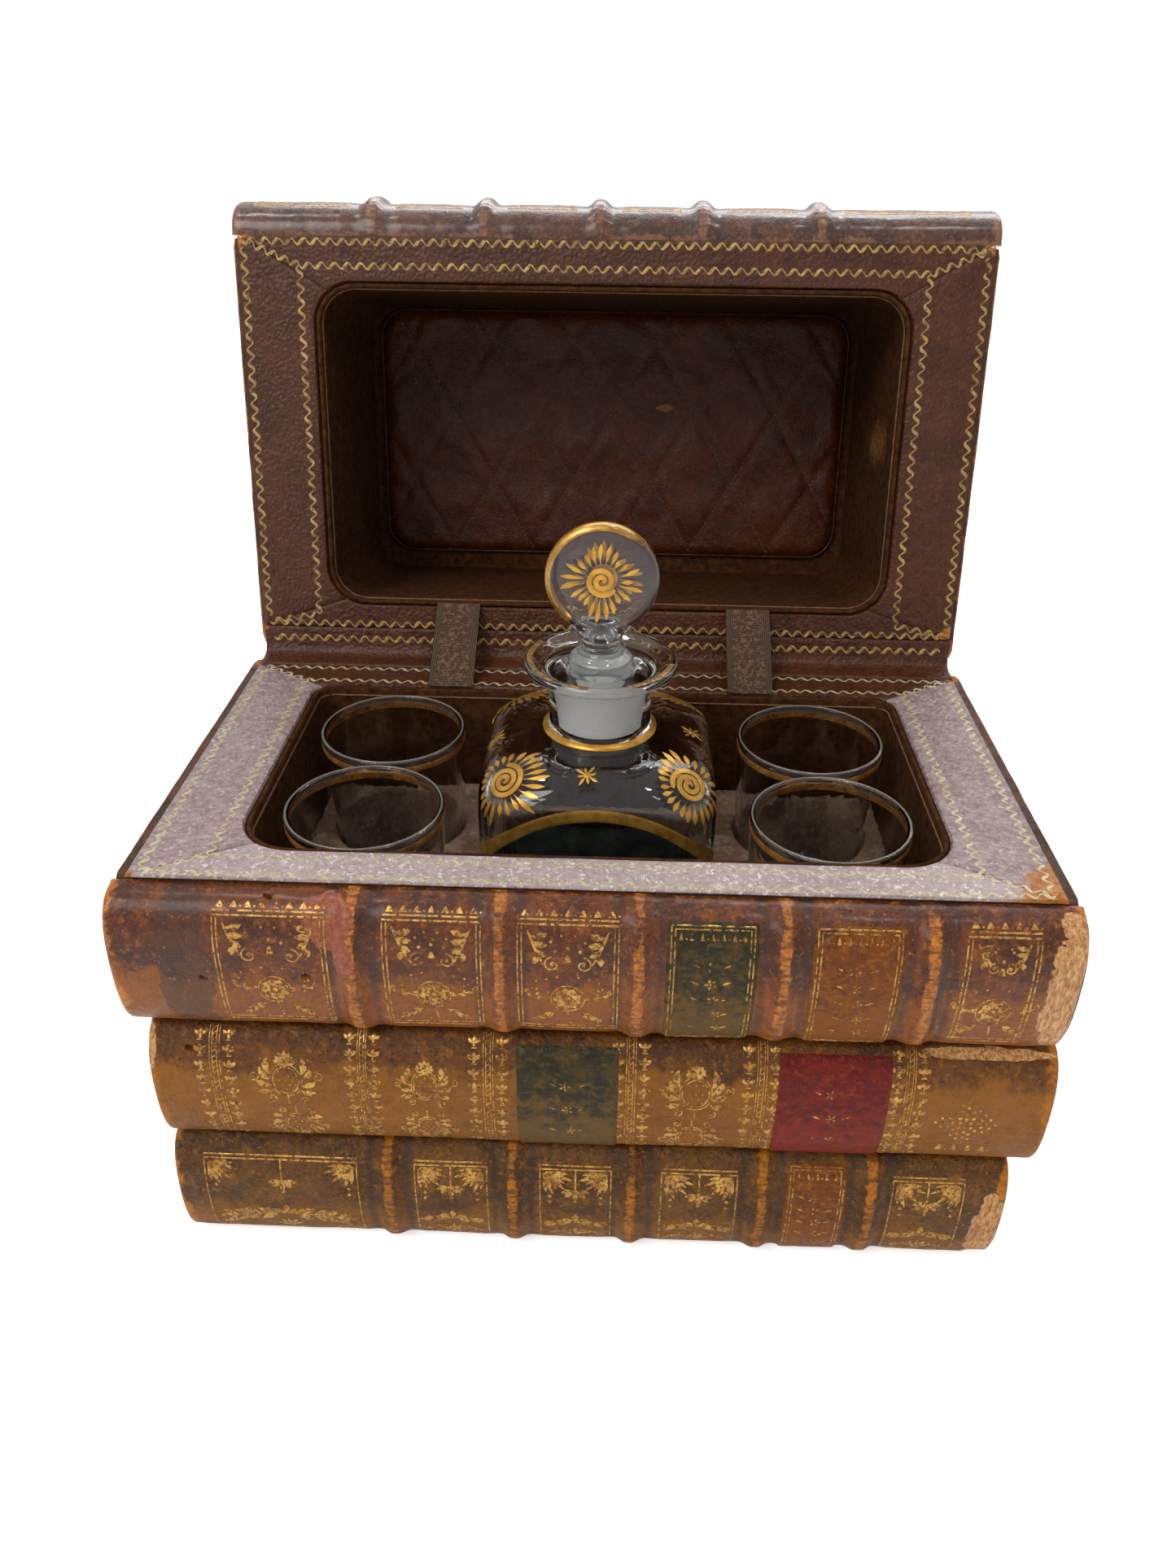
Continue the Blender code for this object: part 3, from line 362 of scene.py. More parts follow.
def leather(name, deep, middle, light, roughness, grain=0.0008, depth=0.00010, rumple=5.0, pitted=0.45):
    """Old leather: mottled, pitted and rumpled."""
    finish = Finish(name)
    finish.base = finish.mix(finish.specks(0.013, 7.0, 0.70, 0.37, 0.63), deep, middle)
    finish.over(finish.specks(0.0026, 6.0, 0.75, 0.50, 0.66), light, 0.65)
    finish.over(finish.specks(0.0011, 3.0, 0.6, 0.54, 0.68), deep, pitted, "MULTIPLY")
    finish.bump(finish.levels(finish.cells(grain, "SMOOTH_F1"), 0.0, 0.9), depth * 1.6)
    finish.bump(finish.speckle(0.0030, 6.0, 0.75, distortion=0.6), depth * rumple)
    shine = finish.levels(finish.speckle(0.005, 5.0, 0.7), 0.35, 0.65, *roughness)
    finish.set(Roughness=shine, Specular_IOR_Level=0.26)
    return finish


def spine_leather(name, deep, middle, light, low_tone, worn, roughness=(0.30, 0.58), coat=0.0):
    """Rubbed calf: ochre below, painted shade in the hollows beside the bands and along the top, orange on the bands,
    bare paper where torn.
    """
    finish = leather(name, deep, middle, light, roughness, pitted=0.6)
    streaks = finish.specks(0.0009, 4.0, 0.7, 0.35, 0.65, (0.35, 1.0, 1.0))
    ochre = finish.mix(finish.levels(finish.speckle(0.016, 6.0, 0.7), 0.40, 0.60, 0.0, 0.6), low_tone, middle)
    finish.over(finish.ragged("low", 0.010, 0.30, 0.80, 2.2), finish.mix(streaks, ochre, light), 0.74)
    # Painted shade in the channels beside the bands and under the spine's top edge
    finish.over(finish.ragged("hollow", 0.004, 0.3, 0.9, 0.7), (52, 36, 30), 0.75)
    rub = finish.mix(finish.specks(0.0013, 4.0, 0.7, 0.35, 0.65), worn, light)
    finish.over(finish.ragged("wear", 0.0016, 0.38, 0.66, 0.95), rub, 0.85)
    ribs = finish.specks(0.0011, 3.0, 0.6, 0.49, 0.60, (0.16, 1.0, 1.0))
    crest = finish.levels(finish.attribute("crest"), 0.2, 0.9)
    finish.over(finish.maths("MULTIPLY", ribs, crest), (66, 36, 20), 0.62)
    finish.over(finish.ragged("stain", 0.003, 0.4, 0.6, 0.8), (58, 42, 30), 0.62)
    finish.over(finish.ragged("patch", 0.002, 0.44, 0.5, 0.3), finish.dappled((128, 72, 56), (158, 98, 76)))
    fibres = finish.specks(0.0008, 5.0, 0.75, 0.3, 0.7, (1.0, 1.0, 0.3))
    paper = finish.mix(fibres, (146, 88, 48), (226, 184, 138))
    finish.over(finish.ragged("paper", 0.0016, 0.44, 0.5, 0.6), paper)
    finish.over(finish.specks(0.0010, 5.0, 0.8, 0.60, 0.68, (0.10, 1.0, 1.0)), light, 0.45)
    finish.over(finish.specks(0.0014, 5.0, 0.85, 0.585, 0.66), worn, 0.55)
    finish.over(finish.specks(0.0013, 5.0, 0.8, 0.56, 0.66, (1.0, 1.0, 0.5)), (50, 30, 18), 0.5)
    warp = finish.maths("MULTIPLY", finish.speckle(0.0020, 4.0, 0.7), 0.8)
    cracks = finish.levels(finish.maths("ADD", finish.cells(0.0036, "DISTANCE_TO_EDGE"), warp), 0.26, 0.36)
    finish.over(finish.levels(cracks, 0.0, 1.0, 1.0, 0.0), (44, 26, 16), 0.5)
    finish.bump(cracks, 0.00012, 0.8)
    return finish.done(1.13, Specular_IOR_Level=0.32, Coat_Weight=coat, Coat_Roughness=0.22)


def rim_leather():
    """The mahogany leather of the frames: even grain, tan where it is rubbed, and a pale grey-purple haze that is
    partly dust and partly painted sheen of the up-facing frames.
    """
    tones = (64, 34, 20), (79, 44, 27), (98, 60, 40)
    finish = leather("tooled_leather", *tones, (0.30, 0.44), grain=0.0010, depth=0.00015, rumple=1.6)
    # Pale grey-purple haze: partly dust, partly painted sheen; lighter still where the share passes 1, on the base's
    # front strip
    dust_and_sheen_tone = finish.mix(finish.specks(0.0020, 5.0, 0.65, 0.35, 0.65), (140, 121, 121), (172, 153, 151))
    bright = finish.levels(finish.attribute("dust_and_sheen"), 1.0, 1.3)
    dust_and_sheen_tone = finish.mix(finish.maths("MULTIPLY", bright, 0.4), dust_and_sheen_tone, (206, 192, 188))
    # Painted glints: near-white specks that stand for light catching the grain, stronger where the painted sheen is
    shine = finish.maths("ADD", 0.45, finish.maths("MULTIPLY", bright, 0.5))
    glints = finish.maths("MULTIPLY", finish.specks(0.0011, 3.0, 0.7, 0.57, 0.64), shine)
    dust_and_sheen_tone = finish.mix(glints, dust_and_sheen_tone, (240, 236, 234))
    finish.over(finish.ragged("dust_and_sheen", 0.016, 0.20, 0.95, 0.55), dust_and_sheen_tone, 0.88)
    finish.over(finish.ragged("wear", 0.0022, 0.42, 0.62, 0.9), finish.dappled((150, 88, 42), (184, 124, 70)))
    return finish.done(1.08, Specular_IOR_Level=0.34)


def board_leather():
    """The sides of the books: brown calf, orange where the edges are rubbed and pale at the corners."""
    finish = leather("board_leather", (62, 40, 29), (90, 58, 40), (120, 82, 54), (0.38, 0.62))
    finish.over(finish.ragged("wear", 0.0022, 0.40, 0.62, 0.9), finish.dappled((150, 88, 46), (188, 122, 66)), 0.9)
    finish.over(finish.ragged("wear", 0.003, 0.86, 0.94, 0.5), finish.dappled((190, 148, 108), (220, 186, 146)))
    return finish.done(1.08)


def suede():
    finish = Finish("suede")
    finish.base = finish.mix(finish.specks(0.0025, 5.0, 0.7, 0.25, 0.75), (42, 23, 10), (84, 51, 27))
    finish.over(finish.ragged("wear", 0.0012, 0.50, 0.85, 1.3), finish.dappled((84, 54, 28), (136, 94, 52)))
    finish.bump(finish.speckle(0.0005, 3.0, 0.8), 0.00010)
    finish.bump(finish.speckle(0.006, 3.0, 0.6), 0.00010)
    return finish.done(Roughness=1.0, Specular_IOR_Level=0.08)


def insert_leather():
    tones = (146, 110, 88), (186, 152, 126), (218, 190, 162)
    return leather("insert_leather", *tones, (0.42, 0.60), grain=0.0012, depth=0.00024).done()


def quilt_leather():
    tones = (62, 30, 17), (80, 42, 26), (100, 60, 42)
    finish = leather("quilted_leather", *tones, (0.32, 0.46), grain=0.0007, depth=0.00006, rumple=3.0)
    finish.over(finish.ragged("wear", 0.003, 0.46, 0.56, 0.9), (132, 86, 48))
    return finish.done(1.1)


def label_leather(name, deep, light, low_tone):
    finish = leather(name, deep, deep, light, (0.26, 0.5), grain=0.0009, depth=0.00008)
    finish.over(finish.specks(0.0013, 5.0, 0.75, 0.52, 0.68, (0.4, 1.0, 1.0)), light, 0.65)
    finish.over(finish.specks(0.0050, 5.0, 0.7, 0.46, 0.62), low_tone, 0.28)
    finish.over(finish.specks(0.0030, 5.0, 0.75, 0.54, 0.66), (30, 20, 12), 0.55)
    finish.over(finish.ragged("low", 0.005, 0.35, 0.75, 1.6), low_tone, 0.62)
    return finish.done(1.1)


def gilt(name, bright, dull, under, low, high, metal=0.65, roughness=0.38):
    """Gold leaf, rubbed away in specks down to what it lies on."""
    finish = Finish(name)
    kept = finish.specks(0.0011, 4.0, 0.75, low, high)
    finish.base = finish.mix(kept, under, finish.mix(finish.specks(0.0035, 3.0, 0.6, 0.3, 0.7), dull, bright))
    finish.bump(finish.speckle(0.0007, 2.0, 0.7), 0.00006)
    return finish.done(Metallic=finish.maths("MULTIPLY", kept, metal), Roughness=roughness, Specular_IOR_Level=0.2)


def glass(name, roughness=0.0, tint=(0.985, 0.99, 0.985, 1.0), size=0.006, depth=0.00012, clear=1.0):
    finish = Finish(name)
    finish.base = tint
    finish.bump(finish.speckle(size, 2.0, 0.5), depth)
    return finish.done(Roughness=roughness, IOR=1.5, Transmission_Weight=clear)


def enamel():
    """The dark ground painted behind the arch."""
    finish = Finish("enamel")
    finish.base = finish.mix(finish.specks(0.008, 4.0, 0.6, 0.3, 0.7), (14, 17, 16), (38, 42, 38))
    finish.bump(finish.speckle(0.0016, 3.0, 0.6), 0.00006)
    return finish.done(Roughness=0.12)


def page_edges():
    """Edges of the leaves: fine layers, browned by age."""
    finish = Finish("page_edges")
    layer = finish.maths("ADD", finish.attribute("layer"), finish.maths("MULTIPLY", finish.speckle(0.03), 0.0006))
    layers = finish.speckle(0.0004, 3.0, 0.8, finish.vector(0.0, layer))
    finish.base = finish.mix(finish.levels(layers, 0.35, 0.65), (126, 92, 58), (186, 156, 112))
    finish.over(finish.specks(0.012, 5.0, 0.65, 0.3, 0.7), (112, 78, 48), 0.5)
    finish.bump(layers, 0.00025)
    return finish.done(Roughness=0.85)


def thread(name, deep, light):
    finish = Finish(name)
    finish.base = finish.mix(finish.specks(0.0006, 3.0, 0.7, 0.35, 0.65), deep, light)
    finish.bump(finish.speckle(0.0003, 2.0, 0.7), 0.00008)
    return finish.done(Roughness=0.85)


def ribbon_weave():
    """Ribbed silk with a scrolling figure, in coordinates that run along and across the ribbon."""
    finish = Finish("ribbon")
    along, across = finish.attribute("along"), finish.attribute("across")
    spread = finish.vector(across, along)
    ribs = finish.maths("SINE", finish.maths("MULTIPLY", along, math.tau / RIB_PITCH))
    cords = finish.maths("SINE", finish.maths("MULTIPLY", across, math.tau / CORD_PITCH))
    figure = finish.levels(finish.cells(0.0024, "SMOOTH_F1", spread), 0.30, 0.40)
    veins = finish.levels(finish.speckle(0.0015, 2.0, 0.5, spread, 1.2), 0.44, 0.54)
    shape = finish.maths("MULTIPLY", figure, veins)
    ground = finish.mix(finish.levels(ribs, -0.6, 0.8), (58, 40, 30), (104, 80, 64))
    cord = finish.mix(finish.levels(cords, -0.6, 0.8), (88, 66, 51), (138, 112, 92))
    finish.base = finish.mix(shape, ground, cord)
    selvedge = finish.mix(finish.levels(cords, -0.4, 0.6), (36, 26, 20), (118, 96, 76))
    finish.over(finish.levels(finish.maths("ABSOLUTE", across), 0.0050, 0.0053), selvedge)
    finish.bump(finish.maths("ADD", finish.maths("MULTIPLY", ribs, 0.5), shape), 0.00020)
    return finish.done(Roughness=0.9, Specular_IOR_Level=0.2)


# Meshes


def linked(name, data):
    obj = bpy.data.objects.new(name, data)
    bpy.context.scene.collection.objects.link(obj)
    return obj


def new_object(name, points, faces):
    mesh = bpy.data.meshes.new(name)
    mesh.from_pydata(points, [], faces)
    return linked(name, mesh)


def outward(mesh):
    """Turns the mesh's faces outward."""
    bm = bmesh.new()
    bm.from_mesh(mesh)
    bmesh.ops.recalc_face_normals(bm, faces=bm.faces)
    bm.to_mesh(mesh)
    bm.free()


def piece(name, shape, material, body, replaces=(), values=None):
    """A piece of the model from its points and faces, which rides on its body unless that is None."""
    obj = new_object(name, *shape)
    mesh = obj.data
    outward(mesh)
    if body == "lid":
        mesh.transform(LID)
    mesh.shade_smooth()
    mesh.set_sharp_from_angle(angle=SMOOTH_ANGLE)
    for key, numbers in (values or {}).items():
        mesh.attributes.new(key, "FLOAT", "POINT").data.foreach_set("value", numbers)
    mesh.materials.append(material)
    if body:
        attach(obj, body)
    if replaces:
        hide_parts(*replaces)
    return obj


def loft(rings, closed=False, capped=True):
    """Points and faces of a body through rings of equal point counts."""
    count = len(rings[0])
    points = [Vector(point) for ring in rings for point in ring]
    faces = []
    for row in range(len(rings) if closed else len(rings) - 1):
        low = row * count
        high = (row + 1) % len(rings) * count
        for i in range(count):
            j = (i + 1) % count
            faces.append((low + i, low + j, high + j, high + i))
    if capped and not closed:
        faces.append(tuple(reversed(range(count))))
        faces.append(tuple(range(len(points) - count, len(points))))
    return points, faces


def soften(path, reach, steps):
    """The path with each inner corner turned into a short curve."""
    path = [Vector(point) for point in path]
    result = [path[0]]
    for before, corner, after in zip(path, path[1:], path[2:]):
        ends = []
        for other in (before, after):
            way = other - corner
            ends.append(corner + way.normalized() * min(reach, way.length * 0.45))
        for step in range(steps + 1):
            share = step / steps
            result.append(ends[0].lerp(corner, share).lerp(corner.lerp(ends[1], share), share))
    return result + [path[-1]]


def circle(radius, z, steps=TURN_STEPS, centre=(0.0, 0.0)):
    angles = [math.tau * i / steps for i in range(steps)]
    return [(centre[0] + radius * math.cos(a), centre[1] + radius * math.sin(a), z) for a in angles]


def cord(path, radius, steps, pitch, closed=False):
    """Rings round a path that are laid up like two strands, twisted once in a pitch."""
    path = [Vector(point) for point in path]
    rings = []
    travelled = 0.0
    for i, point in enumerate(path):
        before = path[i - 1] if i or closed else path[i]
        after = path[(i + 1) % len(path)] if i < len(path) - 1 or closed else path[i]
        along = (after - before).normalized()
        side = along.cross(Vector((0.0, 0.0, 1.0)))
        if side.length < 0.1:
            side = along.cross(Vector((1.0, 0.0, 0.0)))
        side.normalize()
        top = side.cross(along)
        if i:
            travelled += (point - path[i - 1]).length
        ring = []
        for k in range(steps):
            angle = math.tau * k / steps
            swell = 1 + STRAND_DEPTH * math.cos(2 * angle + math.tau / pitch * travelled)
            ring.append(point + (side * math.cos(angle) + top * math.sin(angle)) * radius * swell)
        rings.append(ring)
    return rings


def rounded_ring(low, high, radii, z, points=SIDE_POINTS):
    """A level outline of four sides with as many points each, and a radius for each end of its depth."""
    arcs = []
    for right, back, start in ((1, 0, -math.pi / 2), (1, 1, 0.0), (0, 1, math.pi / 2), (0, 0, math.pi)):
        radius = radii[back]
        x = high[0] - radius if right else low[0] + radius
        arcs.append((x, high[1] - radius if back else low[1] + radius, radius, start))

    def on_arc(arc, turn):
        x, y, radius, start = arc
        return x + radius * math.cos(start + turn), y + radius * math.sin(start + turn), z

    ring = []
    bend = math.pi / 4
    for arc, next_arc in zip(arcs, arcs[1:] + arcs[:1]):
        first, last = arc[2] * bend, next_arc[2] * bend
        begin, end = Vector(on_arc(arc, 2 * bend)), Vector(on_arc(next_arc, 0.0))
        flat = (end - begin).length
        for k in range(points):
            travelled = (first + flat + last) * k / points
            if travelled < first:
                ring.append(on_arc(arc, bend + travelled / max(arc[2], GAP)))
            elif travelled < first + flat:
                ring.append(tuple(begin.lerp(end, (travelled - first) / flat)))
            else:
                ring.append(on_arc(next_arc, (travelled - first - flat) / max(next_arc[2], GAP)))
    return ring


# Gilt line work


class Tooling:
    """Foil lines on a surface. at(u, v, lift) gives the place of a point of the pattern."""

    def __init__(self, at, lift=FOIL_LIFT, weight=1.0):
        self.at = at
        self.lift = lift
        self.weight = weight
        self.points = []
        self.faces = []

    def stroke(self, path, width, closed=False):
        """A line along a path; its width is a number, or a function of the share of the path."""
        count = len(path)
        start = len(self.points)
        widest = max(width(k / 8) for k in range(9)) if callable(width) else width
        section = WIDE_SECTION if widest > WIDE_LINE else NARROW_SECTION
        size = len(section)
        for i, (u, v) in enumerate(path):
            before = path[i - 1] if i or closed else path[i]
            after = path[(i + 1) % count] if i < count - 1 or closed else path[i]
            du, dv = after[0] - before[0], after[1] - before[1]
            reach = (width(i / (count - 1)) if callable(width) else width) * self.weight / 2
            run = math.hypot(du, dv) or 1.0
            for share, lifted in section:
                off = reach * share
                lift = self.lift if lifted else -FOIL_SINK
                self.points.append(self.at(u - dv / run * off, v + du / run * off, lift))
        for i in range(count if closed else count - 1):
            a = start + size * i
            b = start + size * ((i + 1) % count)
            for k in range(size):
                m = (k + 1) % size
                self.faces.append((a + k, a + m, b + m, b + k))
        if not closed:
            last = start + size * (count - 1)
            self.faces.append(tuple(reversed(range(start, start + size))))
            self.faces.append(tuple(range(last, last + size)))

    def rule(self, start, end, width):
        self.stroke(straight(start, end, RULE_STEP), width)

    def disc(self, u, v, radius, steps=12):
        """A filled spot, raised a little towards its middle."""
        start = len(self.points)
        shares = ((1.0, -FOIL_SINK), (0.8, self.lift), (0.4, self.lift))
        for share, lift in shares:
            for i in range(steps):
                angle = math.tau * i / steps
                reach = radius * share
                self.points.append(self.at(u + reach * math.cos(angle), v + reach * math.sin(angle), lift))
        self.points.append(self.at(u, v, self.lift))
        hub = len(self.points) - 1
        for row in range(len(shares) - 1):
            for i in range(steps):
                j = (i + 1) % steps
                a = start + row * steps
                self.faces.append((a + i, a + j, a + steps + j, a + steps + i))
        last = start + (len(shares) - 1) * steps
        for i in range(steps):
            self.faces.append((last + i, last + (i + 1) % steps, hub))
        self.faces.append(tuple(reversed(range(start, start + steps))))

    def petal(self, u, v, angle, length, width, fullness, bend=0.0, steps=7):
        """A leaf or petal that leaves (u, v) at an angle."""
        path = []
        for i in range(steps):
            share = i / (steps - 1)
            turn = angle + bend * share
            path.append((u + length * share * math.cos(turn), v + length * share * math.sin(turn)))
        self.stroke(path, lambda share: width * max(0.12, math.sin(math.pi * share**fullness)))

    def curl(self, u, v, radius, turns, start, width, inner=0.12, steps=16):
        self.stroke(spiral(u, v, radius, turns, start, inner, steps), width)

    def wave(self, start, end):
        """A wavy line, thick on every second slope, as a roll prints it."""
        du, dv = end[0] - start[0], end[1] - start[1]
        run = math.hypot(du, dv)
        du, dv = du / run, dv / run
        waves = max(1, round(run / WAVE_PERIOD))
        path = []
        for i in range(waves * 12 + 1):
            along = run * i / (waves * 12)
            u, v = start[0] + du * along, start[1] + dv * along
            off = WAVE_HEIGHT / 2 * math.sin(math.tau * i / 12) + 0.00025 * ripple(0.02, u, v, WAVE_PERIOD)
            path.append((u - dv * off, v + du * off))
        self.stroke(path, lambda share: WAVE_LINE * (1 - 0.42 * math.cos(math.tau * share * waves)))

    def build(self, name, material, body):
        piece(name, (self.points, self.faces), material, body)


def straight(start, end, step):
    count = max(1, math.ceil(math.dist(start, end) / step))
    return [tuple(between(a, b, i / count) for a, b in zip(start, end)) for i in range(count + 1)]


def spiral(u, v, radius, turns, start, inner, steps):
    count = int(steps * abs(turns)) + 1
    path = []
    for i in range(count + 1):
        share = i / count
        angle = start + math.tau * turns * share
        reach = radius * between(inner, 1.0, share)
        path.append((u + reach * math.cos(angle), v + reach * math.sin(angle)))
    return path


def bow(start, end, rise, steps=10):
    """A curved line from start to end that swells to one side by rise."""
    du, dv = end[0] - start[0], end[1] - start[1]
    path = []
    for i in range(steps + 1):
        share = i / steps
        off = rise * math.sin(math.pi * share)
        path.append((start[0] + du * share - dv * off, start[1] + dv * share + du * off))
    return path


# Books


class Book:
    """Sizes of one volume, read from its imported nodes, and the shape of its spine."""

    TABLE = 240

    def __init__(self, name, body, place, bands, spots, low_place):
        self.name = name
        self.body = body
        self.matrix = place
        self.spots = spots
        self.low_place = low_place
        self.lower = extent(f"{name}_lower_board", place)
        self.upper = extent(f"{name}_upper_board", place)
        spine_low, spine_high = extent(f"{name}_spine", place)
        self.pages = extent(f"{name}_pages", place)
        self.half_length = (spine_high.x - spine_low.x) / 2
        self.offset = (spine_high.x + spine_low.x) / 2
        self.half = (self.upper[1].z - self.lower[0].z) / 2
        self.middle = (self.upper[1].z + self.lower[0].z) / 2
        self.front = spine_high.y
        self.bulge = self.front - spine_low.y - (BAND_HEIGHT if bands else 0.0)
        self.bands = [self.offset + share * self.half_length for share in bands]
        self.angles = [math.pi * i / self.TABLE for i in range(self.TABLE + 1)]
        outline = [self.section(angle, self.bulge) for angle in self.angles]
        arcs = [0.0]
        for here, there in zip(outline, outline[1:]):
            arcs.append(arcs[-1] + math.hypot(there[0] - here[0], there[1] - here[1]))
        self.reach = arcs[-1] / 2
        self.arcs = arcs

    def section(self, angle, bulge, half=None):
        exponent = 2 / SPINE_SQUARENESS
        depth = max(0.0, math.sin(angle)) ** exponent
        return -bulge * depth, (half or self.half) * power(math.cos(angle), exponent)

    def angle(self, s):
        """The section's angle at a distance s above the middle of the spine."""
        arc = clamp(self.reach - s, 0.0, self.arcs[-1])
        index = min(bisect.bisect_right(self.arcs, arc), self.TABLE)
        low, high = self.arcs[index - 1], self.arcs[index]
        share = (arc - low) / (high - low) if high > low else 0.0
        return between(self.angles[index - 1], self.angles[index], share)

    def arc_of(self, z):
        """The distance above the middle of the spine at which its section has a height."""
        share = clamp((z - self.middle) / self.half, -1.0, 1.0)
        angle = math.acos(power(share, SPINE_SQUARENESS / 2))
        return self.reach - self.arcs[min(int(angle / math.pi * self.TABLE), self.TABLE)]

    def from_band(self, x):
        return min((abs(x - band) for band in self.bands), default=1.0)

    def crest(self, x):
        slope = BAND_WIDTH / 2 * (1 - BAND_CREST_SHARE)
        return smooth((BAND_WIDTH / 2 - self.from_band(x)) / slope)

    def hollow(self, x):
        """How far a point lies in the channel beside a band, which is sunk and gets painted shade."""
        return clamp(1 - abs(self.from_band(x) - BAND_WIDTH * 0.62) / (BAND_WIDTH * 0.42))

    def spot(self, kind, x, s):
        """The strongest share of one kind of damage at a point, with ragged borders."""
        best = 0.0
        for name, u, v, reach_u, reach_v in self.spots:
            if name == kind:
                far = math.hypot((x - u) / reach_u, (s - v) / reach_v)
                rough = 0.28 * ripple(0.004, x, s, reach_u) + 0.14 * ripple(0.0015, x, s, reach_v)
                best = max(best, clamp((1.0 - far + rough) * 3 + 0.5))
        return best

    def dent(self, x, s):
        """Wear and warp of the leather, outward."""
        crest = self.crest(x)
        rise = 0.00022 * ripple(0.022, x, s, self.middle) + 0.00009 * ripple(0.006, x, s, self.half) - DENT_DEPTH
        rise += 0.00004 * ripple(0.0022, x, s, 1.0)
        rise -= 0.00022 * self.hollow(x)
        grain = math.sin(s * 3100 + 4 * ripple(0.004, x, s, 3.0))
        rise += crest * (0.00022 * ripple(0.005, x, s, 2.0) + 0.00007 * grain)
        rise -= 0.00045 * self.spot("paper", x, s)
        rise -= 0.00140 * self.spot("hole", x, s)
        rise += 0.00030 * self.spot("patch", x, s)
        return rise

    def at(self, x, s, lift):
        """The place on the spine at x along it and s above its middle, lifted off the leather."""
        angle = self.angle(s)
        bulge = self.bulge + BAND_HEIGHT * self.crest(x)
        y, z = self.section(angle, bulge)
        exponent = SPINE_SQUARENESS - 1
        normal = Vector((0.0, -abs(y / bulge) ** exponent / bulge, power(z / self.half, exponent) / self.half))
        normal.normalize()
        lift += self.dent(x, s)
        return Vector((x, self.front + y, self.middle + z)) + normal * lift

    def wear(self, x, s):
        ends = smooth(1 - (self.half_length - abs(x - self.offset)) / 0.006)
        joints = smooth(1 - (self.reach - abs(s)) / 0.0035) * (0.75 if s < 0 else 0.45)
        patchy = 0.34 * ripple(0.007, x, s, 5.0) + 0.16 * ripple(0.0025, x, s, 6.0)
        return clamp(max(self.crest(x) ** 4 * 0.66, ends * 0.7, joints * 0.8) + patchy)


def spine(book, material):
    """The leather over the back of a book: bands, rolled ends, dents and torn places."""
    lip = SPINE_WALL / 2
    left = book.offset - book.half_length
    right = book.offset + book.half_length
    turned_end = [(left + lip * (1 - cosine), lip * (1 - sine)) for sine, cosine in quarter(4)[:4]]
    count = round((right - left - 2 * lip) / SPINE_STEP)
    stations = turned_end + [(between(left + lip, right - lip, i / count), 0.0) for i in range(count + 1)]
    stations += [(left + right - x, drop) for x, drop in reversed(turned_end)]
    shades = {key: [] for key in ("wear", "low", "hollow", "crest", "stain", "patch", "paper")}
    rings = []
    inner_rows = 14
    inner_bulge = book.bulge - SPINE_WALL
    inner_half = book.half - BOARD_THICKNESS
    for x, drop in stations:
        ring = []
        for row in range(SPINE_ROWS + 1):
            s = book.reach * (1 - 2 * row / SPINE_ROWS)
            ring.append(book.at(x, s, -drop if 0 < row < SPINE_ROWS else -drop * 0.4))
            shades["wear"].append(book.wear(x, s))
            shades["low"].append(smooth((book.low_place - s) / 0.018 + 0.5))
            # Painted shade: the channels beside the bands and a strip along the top edge
            shades["hollow"].append(book.hollow(x) * 0.8 + 0.2 * smooth((s - book.reach + 0.008) / 0.006))
            shades["crest"].append(book.crest(x))
            for key in ("stain", "patch", "paper"):
                shades[key].append(book.spot(key, x, s))
        for row in range(inner_rows + 1):
            angle = math.pi * (1 - row / inner_rows)
            y, z = book.section(angle, inner_bulge + drop, inner_half + drop * 0.5)
            ring.append(Vector((x, book.front + y, book.middle + z)))
            for key in shades:
                shades[key].append(0.0)
        rings.append(ring)
    name = f"{book.name}_spine"
    piece(f"{name}_leather", loft(rings), material, book.body, [name], shades)


def label(book, node, material, clipped):
    """A title label, left without lettering, glued over the spine with its edges pressed down."""
    low, high = extent(node, book.matrix)
    top = book.arc_of(high.z)
    foot = book.arc_of(low.z)
    x_count = max(8, round((high.x - low.x) / SPINE_STEP))
    s_count = max(8, round((top - foot) / SPINE_STEP))
    rings = []
    shade = []
    for i in range(x_count + 1):
        x = between(low.x, high.x, i / x_count)
        ceiling = top - clipped * clamp(1 - (x - low.x) / 0.007)
        outer, inner = [], []
        for k in range(s_count + 1):
            s = between(ceiling, foot, k / s_count)
            edge = min(x - low.x, high.x - x, ceiling - s, s - foot)
            frayed = 0.00022 * ripple(0.0018, x, s, 9.0)
            lift = 0.00042 * math.sqrt(clamp(edge / 0.0005)) + frayed * clamp(edge / 0.001)
            outer.append(book.at(x, s, 0.00006 + lift))
            inner.append(book.at(x, s, -0.00010))
        shade += [k / s_count for k in range(s_count + 1)] + [1 - k / s_count for k in range(s_count + 1)]
        rings.append(outer + inner[::-1])
    piece(f"{node}_leather", loft(rings), material, book.body, [node], {"low": shade})


